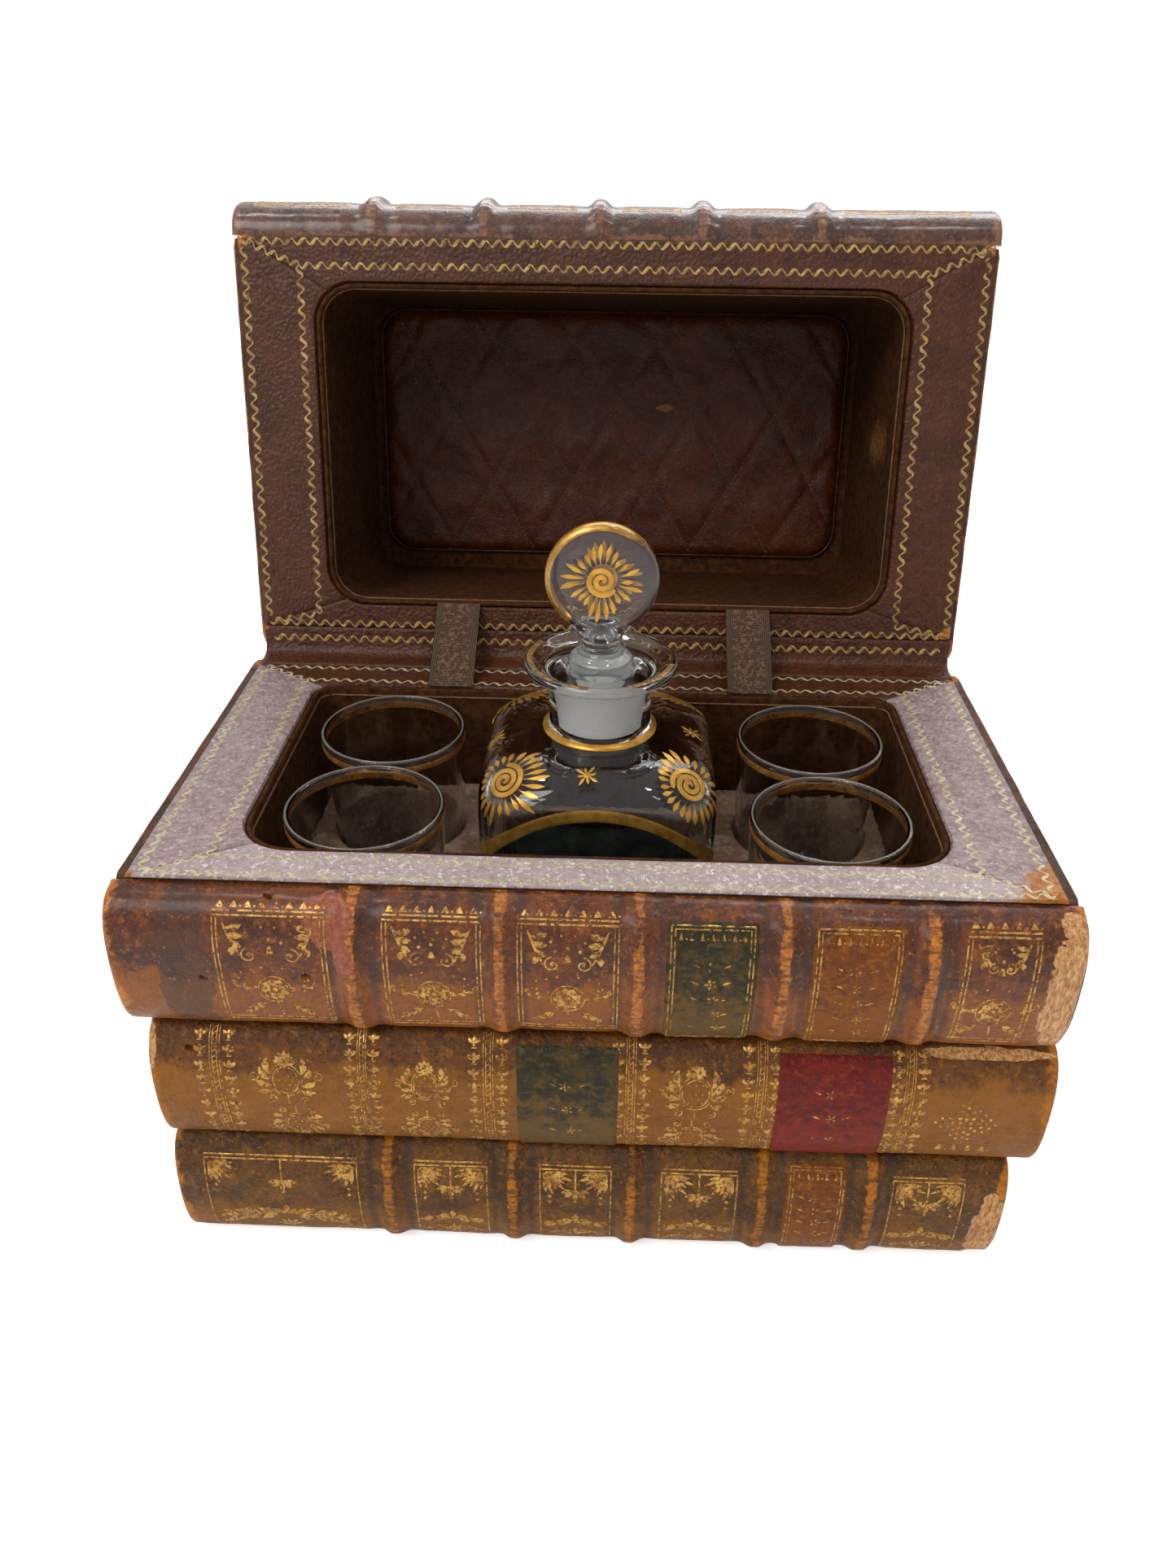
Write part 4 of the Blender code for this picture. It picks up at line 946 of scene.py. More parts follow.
def slab(name, book, node, opening, material):
    """A leather-covered board with rubbed, rounded edges and corners, cut out where the case is open."""
    low, high = extent(node, book.matrix)
    middle = (low.z + high.z) / 2
    half = (high.z - low.z) / 2
    edge = half * 0.8

    def ring(inset, z):
        corners = (low.x + inset, low.y + inset), (high.x - inset, high.y - inset)
        result = []
        for x, y, z in rounded_ring(*corners, (BOARD_CORNER, BOARD_CORNER), z):
            wobble = 0.00018 * (ripple(0.009, x, y, z) - 1)
            at_side, at_back = abs(x) > abs(low.x) * 0.98, y > high.y - GAP
            result.append((x + wobble * math.copysign(at_side, x), y + wobble * at_back, z))
        return result

    rings = [ring(edge * (1 - sine), middle - half + edge * (1 - cosine)) for sine, cosine in quarter(6)]
    rings += [ring(edge * (1 - cosine), middle + half - edge * (1 - sine)) for sine, cosine in quarter(6)]
    if opening:
        rings += [opening.ring(0.0, middle + half), opening.ring(0.0, middle - half)]
    points, faces = loft(rings, closed=bool(opening))
    wear = []
    for point in points:
        at_side, at_back = min(point.x - low.x, high.x - point.x), high.y - point.y
        edge_wear = smooth(1 - min(at_side, at_back) / 0.0022) * 0.62
        rubbed = max(edge_wear, smooth(1 - (at_side + at_back) / 0.014))
        wear.append(clamp(rubbed + 0.25 * ripple(0.008, *point)))
    piece(name, (points, faces), material, book.body, [node], {"wear": wear})


def leaves(book, opening, pocket, material):
    """The block of leaves: gatherings that stand in and out a little, hollow along the fore edge."""
    low, high = book.pages
    layers = 84
    half = (high.z - low.z) / 2
    bulge = book.bulge - SPINE_WALL - GAP
    rings = []
    for k in range(layers + 1):
        z = between(low.z, high.z, k / layers)
        cosine = abs(z - low.z - half) ** (SPINE_SQUARENESS / 2) / half ** (SPINE_SQUARENESS / 2)
        front = book.front - bulge * max(0.0, 1 - cosine**2) ** (1 / SPINE_SQUARENESS)
        hollow = FORE_EDGE_HOLLOW * math.sin(math.pi * k / layers)
        shift = 0.00022 * ripple(0.0016, z, book.middle, 1.0) + 0.00014 * ripple(0.0005, z, 7.0, 2.0)
        corners = (low.x + shift, front), (high.x - shift, high.y - hollow - abs(shift))
        rings.append(rounded_ring(*corners, (GAP, GAP), z))
    rings.append(opening.ring(0.0, high.z))
    rings.append(opening.ring(0.0, opening.floor - GAP if pocket else low.z))
    shape = loft(rings, closed=not pocket)
    values = {"layer": [point.z for point in shape[0]]}
    piece(f"{book.name}_leaves", shape, material, book.body, [f"{book.name}_pages"], values)


def endband(book, side, material):
    """A worked headband: cord wound round a core along the curve of the spine."""
    node = f"{book.name}_{side}_endband"
    low, high = extent(node, book.matrix)
    x = (low.x + high.x) / 2
    radius = (high.x - low.x) / 2
    bulge = book.bulge - SPINE_WALL - GAP - radius
    half = book.half - BOARD_THICKNESS - GAP - radius
    path = []
    steps = 90
    for i in range(steps + 1):
        angle = math.pi * between(0.2, 0.8, i / steps)
        y, z = book.section(angle, bulge, half)
        path.append((x, book.front + y, book.middle + z))
    rings = cord(path, radius * 0.9, 12, 0.0011)
    piece(f"{book.name}_{side}_headband", loft(rings), material, book.body, [node])


# Openings, rims and linings


class Opening:
    """The mouth of the case or of the lid, and the leather frame round it."""

    def __init__(self, body, place, liner, radii, rims, upward):
        self.body = body
        self.place = place
        self.radii = radii
        self.upward = upward
        low, high = extent(liner, place)
        self.low = Vector((low.x - GAP, low.y - GAP))
        self.high = Vector((high.x + GAP, high.y + GAP))
        self.floor = low.z if upward > 0 else high.z
        self.mouth = high.z if upward > 0 else low.z
        self.rims = rims
        front_low, front_high = extent(f"{rims}_rim_front", place)
        self.front = front_low.y
        self.back = extent(f"{rims}_rim_back", place)[1].y
        self.half = extent(f"{rims}_rim_right", place)[1].x
        self.foot = front_low.z if upward > 0 else front_high.z
        self.face = front_high.z if upward > 0 else front_low.z

    def ring(self, inset, z, points=SIDE_POINTS):
        low = (self.low.x + inset, self.low.y + inset)
        high = (self.high.x - inset, self.high.y - inset)
        return rounded_ring(low, high, tuple(radius - inset for radius in self.radii), z, points)

    def swell(self, x, y):
        return 0.00016 * ripple(0.020, x, y, 1.0) + 0.00007 * ripple(0.006, x, y, 2.0) - 0.00012

    def at(self, x, y, lift):
        """A place on the face of the frame, lifted off the leather."""
        return Vector((x, y, self.face + self.upward * (self.swell(x, y) + lift)))

    def bend(self, near, turns):
        """Points round a right corner of the opening, at two angles; None stands for the mitre's angle."""
        corner = Vector((self.half, self.front if near else self.back))
        sharp = Vector((self.high.x, self.low.y if near else self.high.y))
        radius = self.radii[0 if near else 1]
        sign = -1 if near else 1
        hub = sharp - Vector((radius, sign * radius))
        along = (sharp - corner).normalized()
        b = along.dot(hub - corner)
        reach = b - math.sqrt(b * b - (hub - corner).length_squared + radius * radius)
        spot = corner + along * reach - hub
        first, last = (math.atan2(spot.x, abs(spot.y)) if turn is None else turn for turn in turns)
        angles = [between(first, last, k / 24) for k in range(25)]
        return [hub + radius * Vector((math.sin(angle), sign * math.cos(angle))) for angle in angles]

    def inner_path(self, side, count):
        """Points along the opening's edge that one strip of the frame meets."""
        if side in ("front", "back"):
            path = self.bend(side == "front", (0.0, None))
            path = mirrored(path)[::-1] + path
        else:
            path = self.bend(True, (None, math.pi / 2)) + self.bend(False, (math.pi / 2, None))
        return resampled(mirrored(path) if side == "left" else path, count)

    def outer_path(self, side, count):
        half, front, back = self.half, self.front, self.back
        ends = {
            "front": ((-half, front), (half, front)),
            "back": ((-half, back), (half, back)),
            "left": ((-half, front), (-half, back)),
            "right": ((half, front), (half, back)),
        }
        start, end = (Vector(point) for point in ends[side])
        return [start.lerp(end, i / count) for i in range(count + 1)]


def mirrored(path):
    return [Vector((-point.x, point.y)) for point in path]


def resampled(path, count):
    lengths = [0.0]
    for here, there in zip(path, path[1:]):
        lengths.append(lengths[-1] + (there - here).length)
    result = []
    for i in range(count + 1):
        wanted = lengths[-1] * i / count
        index = min(bisect.bisect_left(lengths, wanted), len(path) - 1)
        index = max(index, 1)
        step = lengths[index] - lengths[index - 1]
        share = (wanted - lengths[index - 1]) / step if step else 0.0
        result.append(path[index - 1].lerp(path[index], share))
    return result


def rolled(distance, radius):
    """How far a rounded edge falls away at a distance from it."""
    share = clamp(distance / radius)
    return radius * (1 - math.sqrt(1 - (1 - share) ** 2))


def rim_strip(opening, side, material, worn_corners, dust_and_sheen):
    """One mitred strip of the leather frame, turned over at its edges."""
    start, end = (opening.outer_path(side, 1)[index] for index in (0, 1))
    length = (end - start).length
    seam = (end - start).normalized() * GAP / 2
    count = round(length / RIM_STEP)
    height = abs(opening.face - opening.foot)
    rings = []
    wear = []
    dust_and_sheen_values = []
    for i, (a, b) in enumerate(zip(opening.outer_path(side, count), opening.inner_path(side, count))):
        along = i / count
        a, b = (point + seam * (1 - 2 * along) for point in (a, b))
        run = (b - a).length
        end_fall = rolled(min(along, 1 - along) * length, 0.0006) * 0.5
        top, foot = [], []
        for share in RIM_SHARES:
            x, y = a.lerp(b, share)
            fall = rolled(share * run, 0.0009) * 0.8 + rolled((1 - share) * run, 0.0011) * 0.9 + end_fall
            lift = max(-height * 0.9, opening.swell(x, y) - fall)
            top.append((x, y, opening.face + opening.upward * lift))
            foot.append((x, y, opening.foot))
            rubbed = 0.30 * smooth(1 - share * run / 0.0012)
            for worn_x, worn_y, reach in worn_corners:
                rubbed = max(rubbed, 1.15 - math.hypot(x - worn_x, y - worn_y) / reach)
            wear.append(clamp(rubbed + 0.2 * ripple(0.006, x, y, 4.0)))
            # Share of dust and painted sheen, set per strip
            dust_and_sheen_values.append(dust_and_sheen * (0.86 + 0.14 * ripple(0.03, x, y, 7.0)))
        wear += [0.0] * len(RIM_SHARES)
        dust_and_sheen_values += [0.0] * len(RIM_SHARES)
        rings.append(top + foot[::-1])
    name, node = f"{opening.rims}_frame_{side}", f"{opening.rims}_rim_{side}"
    values = {"wear": wear, "dust_and_sheen": dust_and_sheen_values}
    piece(name, loft(rings), material, opening.body, [node], values)


def lining(opening, node, material, rubs=()):
    """The suede tray: turned over at the mouth, a little slack along its walls."""
    up = opening.upward
    wall = LINER_WALL
    lip = opening.mouth - up * wall / 2
    foot = opening.floor + up * (wall + LINER_FILLET)
    rings = [opening.ring(GAP, opening.floor), opening.ring(GAP, lip)]
    for k in range(7):
        angle = math.pi * k / 6
        inset = GAP + wall / 2 * (1 - math.cos(angle))
        rings.append(opening.ring(inset, opening.mouth - up * wall / 2 * (1 - math.sin(angle))))
    middle = (opening.low.y + opening.high.y) / 2
    levels = 26
    for k in range(1, levels + 1):
        share = k / levels
        ring = []
        for x, y, z in opening.ring(GAP + wall, between(lip, foot, share)):
            slack = 0.0001 + 0.00030 * ripple(0.018, x, y, z) * math.sin(math.pi * share)
            out = Vector((x, y - middle)).normalized()
            ring.append((x - out.x * slack, y - out.y * slack, z))
        rings.append(ring)
    for sine, cosine in quarter(4)[1:]:
        inset = GAP + wall + LINER_FILLET * (1 - cosine)
        rings.append(opening.ring(inset, foot - up * LINER_FILLET * sine))
    points, faces = loft(rings)
    wear = []
    for point in points:
        rubbed = 0.22 * smooth(1 - abs(point.z - opening.mouth) / 0.002)
        for x, y, z, reach_along, reach_z in rubs:
            if abs(point.x - x) < 0.004:
                rubbed = max(rubbed, 1.2 - math.hypot((point.y - y) / reach_along, (point.z - z) / reach_z))
        wear.append(clamp(rubbed + 0.25 * ripple(0.005, *point)))
    piece(f"{node}_suede", (points, faces), material, opening.body, [node], {"wear": wear})


def piping(opening, name, material):
    """The thin corded line sewn a little way inside the mouth."""
    z = opening.mouth - opening.upward * 0.0026
    rings = cord(opening.ring(GAP + LINER_WALL + 0.00012, z, 90), 0.00028, 8, 0.0012, closed=True)
    piece(name, loft(rings, closed=True), material, opening.body)


# Inside the case


def square_ring(half, z, radius, steps=TURN_STEPS):
    """A level ring about Z: a square with round corners, or a circle where the radius is the half width."""
    flat = half - radius
    ring = []
    for i in range(steps):
        angle = math.tau * i / steps
        c, s = abs(math.cos(angle)), abs(math.sin(angle))
        if half * min(c, s) <= flat * max(c, s):
            reach = half / max(c, s)
        else:
            reach = flat * (c + s) + math.sqrt(max(0.0, radius**2 - (flat * (c - s)) ** 2))
        ring.append(Vector((reach * math.cos(angle), reach * math.sin(angle), z)))
    return ring


def turned(profile, centre=(0.0, 0.0)):
    return [circle(radius, z, TURN_STEPS, centre) for radius, z in profile]


def hoop(name, section, material, body, centre=(0.0, 0.0)):
    """A closed section of (radius, height) points, turned about an upright line."""
    piece(name, loft(turned(section, centre), closed=True), material, body)


def sleeved(path, outer, inner):
    """A thin closed section along a path of (radius, height) points."""
    return [(r + outer, z) for r, z in path] + [(r + inner, z) for r, z in reversed(path)]


def fine_profile(corners, reach, steps):
    """A profile of (radius, height) points with its corners rounded."""
    path = soften([(r, 0.0, z) for r, z in corners], reach, steps)
    return [(point.x, point.z) for point in path]


def solid(name, rings):
    """A body that only serves to cut another or to be joined to it."""
    obj = new_object(name, *loft(rings))
    outward(obj.data)
    return obj


def worked(body, cutters, operation):
    """Points and faces of a body after solids are cut from it or joined to it."""
    for cutter in cutters:
        modifier = body.modifiers.new("cut", "BOOLEAN")
        modifier.operation = operation
        modifier.solver = "EXACT"
        modifier.object = cutter
    bpy.context.view_layer.update()
    mesh = bpy.data.meshes.new_from_object(body.evaluated_get(bpy.context.evaluated_depsgraph_get()))
    points = [vertex.co.copy() for vertex in mesh.vertices]
    faces = [tuple(polygon.vertices) for polygon in mesh.polygons]
    for obj in (body, *cutters):
        bpy.data.objects.remove(obj, do_unlink=True)
    return points, faces


def well_mouth(half, foot, top):
    """Half widths and heights of a well whose mouth is turned over."""
    mouth = [(half, foot), (half, top - WELL_FLARE)]
    mouth += [(half + WELL_FLARE * (1 - c), top - WELL_FLARE * (1 - s)) for s, c in quarter(5)[1:]]
    return mouth + [(half + WELL_FLARE, top + WELL_FLARE)]


def insert(case, material):
    """The leather-covered block with its five wells."""
    low, high = extent("glass_insert")
    inset = low.x - case.low.x
    profile = [(0.0008, low.z), (0.0, low.z + 0.0008), (0.0, high.z - 0.0010)]
    profile += [(0.0003, high.z - 0.0003), (0.0010, high.z)]
    body = solid("insert", [case.ring(inset + drop, z) for drop, z in profile])
    cutters = []
    for name in TUMBLERS:
        cup_low, cup_high = extent(name)
        centre = ((cup_low.x + cup_high.x) / 2, (cup_low.y + cup_high.y) / 2)
        radius = between(FOOT_RADIUS, CUP_RADIUS, (high.z - cup_low.z) / (cup_high.z - cup_low.z)) + 0.0007
        cutters.append(solid("well", turned(well_mouth(radius, cup_low.z - GAP, high.z), centre)))
    mouth = well_mouth(BODY_HALF + 0.0010, extent("decanter")[0].z - GAP, high.z)
    cutters.append(solid("well", [square_ring(half, z, BODY_CORNER + half - BODY_HALF) for half, z in mouth]))
    shape = worked(body, cutters, "DIFFERENCE")
    piece("insert_block", shape, material, "case", ["glass_insert"])


def tumbler(name, clear, gold):
    """A plain tumbler with a heavy base, a ground rim with a pale ring in its glass as a painted highlight, and a gilt
    band below it.
    """
    low, high = extent(name)
    centre = ((low.x + high.x) / 2, (low.y + high.y) / 2)
    height = high.z - low.z

    def radius(z):
        return between(FOOT_RADIUS, CUP_RADIUS, (z - low.z) / height)

    profile = [
        (0.0005, low.z + 0.0004),
        (FOOT_RADIUS - 0.0045, low.z + 0.0004),
        (FOOT_RADIUS - 0.0030, low.z),
        (FOOT_RADIUS, low.z),
        (radius(high.z - 0.0024) - 0.0001, high.z - 0.0024),
        (CUP_RADIUS, high.z - 0.0012),
        (CUP_RADIUS, high.z - 0.0003),
        (CUP_RADIUS - 0.0016, high.z - 0.0003),
        (CUP_RADIUS - 0.0016, high.z - 0.0012),
        (CUP_RADIUS - CUP_WALL - 0.0001, high.z - 0.0024),
        (FOOT_RADIUS - CUP_WALL + 0.0002, low.z + CUP_BASE),
        (0.0005, low.z + CUP_BASE - 0.0004),
    ]
    shape = loft(turned(fine_profile(profile, 0.00075, 5), centre))
    piece(f"{name}_glass", shape, clear, name, [name])
    # A pale ring just inside the rim's glass: painted highlight of the rim
    lip = []
    for x, y, unused in circle(LIP_RADIUS, 0.0, 12):
        lip.append((CUP_RADIUS - 0.0007 + x, high.z - LIP_RADIUS + y))
    hoop(f"{name}_lip", lip, RIM_HIGHLIGHT, name, centre)
    band = []
    for share, lift in ((0.0, 0.00002), (0.12, 0.00007), (0.88, 0.00007), (1.0, 0.00002)):
        level = high.z - 0.0023 - 0.0018 * share
        band.append((radius(level) + lift, level))
    for level in (high.z - 0.0043, high.z - 0.0022):
        band.append((radius(level) - 0.00004, level))
    hoop(f"{name}_gilt_band", band, gold, name, centre)


def shoulder(half, corner, neck, foot, top):
    """Rings that turn a square body into a round neck."""
    steps = 18
    exponent = 2 / SHOULDER_SQUARENESS
    rings = []
    for step, (sine, cosine) in list(enumerate(quarter(steps)))[1:steps]:
        reach = neck + (half - neck) * cosine**exponent
        z = foot + (top - foot) * sine**exponent
        roundness = step / steps
        rings.append(square_ring(reach, z, reach * roundness + corner * (1 - roundness), BODY_STEPS))
    return rings


def arc_band(section, first, last, place):
    """A band of one section swept part of the way round a circle, between two angles in degrees."""
    steps = 72
    rings = []
    for i in range(steps + 1):
        share = i / steps
        angle = math.radians(between(first, last, share))
        swell = min(1.0, 0.25 + 8 * share, 0.25 + 8 * (1 - share))
        rings.append([place(radius, angle, rise * swell) for radius, rise in section])
    return loft(rings)


class Projection:
    """Points on a surface seen square on from a place, with u to the right and v up."""

    def __init__(self, tree, place, towards, roll=0.0, up=(0.0, 0.0, 1.0)):
        self.tree = tree
        self.direction = Vector(towards).normalized()
        right = self.direction.cross(Vector(up)).normalized()
        top = right.cross(self.direction)
        self.right = right * math.cos(roll) + top * math.sin(roll)
        self.top = top * math.cos(roll) - right * math.sin(roll)
        self.origin = Vector(place) - self.direction * 0.03

    def __call__(self, u, v, lift):
        start = self.origin + self.right * u + self.top * v
        spot, normal = self.tree.ray_cast(start, self.direction)[:2]
        if spot is None:
            spot, normal = self.tree.find_nearest(start + self.direction * 0.03)[:2]
        if normal.dot(self.direction) > 0:
            normal = -normal
        return spot + normal * lift


def sun(at, radius, turns, reaches, gold, name, body):
    """A spiral disc with club-shaped rays, their lengths read round it from the right."""
    work = Tooling(at)
    pitch = radius / (turns + 0.35)
    path = spiral(0.0, 0.0, radius - pitch * 0.42, turns, -1.2, 0.06, 40)
    work.stroke(path, lambda share: pitch * 0.70 * min(1.0, 0.35 + share * 4, (1.001 - share) * 60 + 0.3))
    first = radius * 0.94
    count = 23
    for k in range(count):
        angle = math.tau * (k + 0.2 * ripple(0.7, k, radius * 100, 1.0)) / count
        place = angle / math.tau * len(reaches)
        index = int(place) % len(reaches)
        reach = between(reaches[index], reaches[(index + 1) % len(reaches)], place % 1)
        reach *= 1 + 0.12 * ripple(0.6, k, radius * 50, 2.0)
        start = (first * math.cos(angle), first * math.sin(angle))
        bend = 0.18 * math.sin(angle * 2 + 0.5)
        work.petal(*start, angle, reach - first, radius * 0.25, 1.6, bend, 9)
    work.build(name, gold, body)


def star(at, radius, gold, name):
    work = Tooling(at)
    for k in range(8):
        angle = math.tau * k / 8 + 0.2
        reach = radius * (1.0 if k % 2 else 0.72)
        work.petal(0.0, 0.0, angle, reach, radius * 0.24, 1.6, 0.0, 5)
    work.disc(0.0, 0.0, radius * 0.26)
    return work.build(name, gold, "decanter")


def decanter(clear, frosted, gold, dark):
    """Square body with round shoulders, ground neck and dished flange."""
    foot = extent("decanter")[0].z
    rings = []

    def add(half, z, radius):
        rings.append(square_ring(half, z, radius, BODY_STEPS))

    for share, drop in ((0.30, 0.0012), (0.72, 0.0010), (0.84, 0.0002)):
        add(BODY_HALF * share, foot + drop, BODY_CORNER * share)
    for sine, cosine in quarter(6):
        half = BODY_HALF - BODY_EDGE * (1 - sine)
        add(half, foot + BODY_EDGE * (1 - cosine), BODY_CORNER - BODY_HALF + half)
    for k in range(1, 9):
        add(BODY_HALF, between(foot + BODY_EDGE, SHOULDER_FOOT, k / 8), BODY_CORNER)
    rings += shoulder(BODY_HALF, BODY_CORNER, NECK_FOOT_RADIUS, SHOULDER_FOOT, SHOULDER_TOP)
    outer_count = len(rings)
    neck = [
        (NECK_FOOT_RADIUS, SHOULDER_TOP),
        (NECK_RADIUS, RIM_TOP + 0.0126),
        (NECK_RADIUS, FLANGE_FOOT - 0.0040),
        (NECK_RADIUS + 0.0016, FLANGE_FOOT - 0.0018),
        (FLANGE_RADIUS - 0.0022, FLANGE_FOOT - 0.0004),
        (FLANGE_RADIUS - 0.0002, FLANGE_FOOT + 0.0005),
        (FLANGE_RADIUS, FLANGE_FOOT + 0.0018),
        (FLANGE_RADIUS - 0.0006, FLANGE_TOP - 0.0002),
        (FLANGE_RADIUS - 0.0018, FLANGE_TOP),
        (FLANGE_RADIUS - 0.0034, FLANGE_TOP - 0.0009),
        (FLANGE_RADIUS - 0.0052, FLANGE_FOOT + 0.0010),
        (MOUTH_RADIUS + 0.0014, FLANGE_FOOT + 0.0004),
        (MOUTH_RADIUS, FLANGE_FOOT - 0.0004),
        (THROAT_RADIUS, FLANGE_FOOT - 0.0034),
        (BORE_RADIUS, RIM_TOP + 0.014),
    ]
    for radius, z in fine_profile(neck, 0.0012, 3):
        add(radius, z, radius)
    inner = BODY_HALF - BODY_WALL
    inner_corner = BODY_CORNER - BODY_WALL
    inner_top = SHOULDER_TOP - BODY_WALL
    add(BORE_RADIUS, inner_top, BORE_RADIUS)
    rings += shoulder(inner, inner_corner, BORE_RADIUS, SHOULDER_FOOT, inner_top)[::-1]
    for k in range(9):
        add(inner, between(SHOULDER_FOOT, foot + BODY_FLOOR, k / 8), inner_corner)
    for sine, cosine in quarter(5)[1:]:
        half = inner - BODY_WALL * (1 - cosine)
        add(half, foot + BODY_FLOOR - BODY_WALL * sine, inner_corner - inner + half)
    for share in (0.8, 0.5, 0.2):
        add(inner * share, foot + 0.006 + 0.0016 * (1 - share), inner_corner * share)
    piece("decanter_glass", loft(rings), clear, "decanter", ["decanter"])

    ground = [
        (BORE_RADIUS + 0.0001, SHOULDER_TOP),
        (THROAT_RADIUS + 0.0001, FLANGE_FOOT - 0.0036),
        (MOUTH_RADIUS + 0.0001, FLANGE_FOOT - 0.0008),
    ]
    hoop("ground_bore", sleeved(ground, 0.00025, 0.00005), frosted, "decanter")
    band = [
        (NECK_RADIUS + 0.0004, SHOULDER_TOP + 0.0012),
        (NECK_FOOT_RADIUS + 0.0003, SHOULDER_TOP + 0.0008),
        (NECK_FOOT_RADIUS + 0.0009, SHOULDER_TOP + 0.0002),
        (NECK_FOOT_RADIUS + 0.0010, SHOULDER_TOP - 0.0001),
        (NECK_FOOT_RADIUS + 0.0006, SHOULDER_TOP - 0.0004),
        (NECK_FOOT_RADIUS - 0.0004, SHOULDER_TOP - 0.0002),
    ]
    hoop("neck_gilt_ring", band, gold, "decanter")
    rim = ((0.0024, 0.0), (0.0014, 0.00022), (0.0008, 0.0), (0.0010, -0.0003), (0.0020, -0.0003))
    rim = [(FLANGE_RADIUS - inset, rise) for inset, rise in rim]

    def round_flange(radius, angle, rise):
        return Vector((radius * math.cos(angle), radius * math.sin(angle), FLANGE_TOP - 0.0001 + rise))

    for name, first, last in (("left", 150.0, 232.0), ("front", 246.0, 262.0), ("right", 292.0, 350.0)):
        piece(f"flange_gilt_{name}", arc_band(rim, first, last, round_flange), WORN_GOLD, "decanter")
    skin = loft(rings[: outer_count + 12], capped=False)
    decanter_ornament(BVHTree.FromPolygons(*skin), gold, dark)


def decanter_ornament(tree, gold, dark):
    """Suns at the corners of the shoulders, stars between them, and a dark field under a gilt arch."""
    for side in (-1, 1):
        for row in (-1, 1):
            towards = (-side * 0.56, -row * 0.50, -0.68)
            at = Projection(tree, (side * 0.0252, row * 0.0248, 0.1310), towards, 0.25 * side)
            name = f"sun_{'left' if side < 0 else 'right'}_{'front' if row < 0 else 'back'}"
            sun(at, 0.0060, -2.6 * row, SUN_REACHES[::side], gold, name, "decanter")
    for name, place in STARS.items():
        star(Projection(tree, place, (0.0, 0.2, -1.0), 0.0, (0.0, 1.0, 0.0)), 0.0036, gold, name)

    front = Projection(tree, (0.0, -BODY_HALF, 0.110), (0.0, 1.0, 0.0))
    arch = Tooling(front)
    path = [(ARCH_HALF * math.sin(a), ARCH_DROP + ARCH_RISE * math.cos(a)) for a in ARCH_ANGLES]
    arch.stroke(path, 0.0034)
    arch.build("gilt_arch", OLD_GOLD, "decanter")
    columns, rows = 48, 18
    field = []
    for i in range(columns + 1):
        a = ARCH_ANGLES[0] + (ARCH_ANGLES[-1] - ARCH_ANGLES[0]) * i / columns
        x = ARCH_HALF * math.sin(a)
        top = ARCH_DROP + ARCH_RISE * math.cos(a) - 0.0011
        heights = [between(top, -0.060, k / rows) for k in range(rows + 1)]
        outer, under = ([front(x, z, lift) for z in heights] for lift in (0.00003, -0.00005))
        field.append(outer + under[::-1])
    piece("dark_field", loft(field), dark, "decanter")


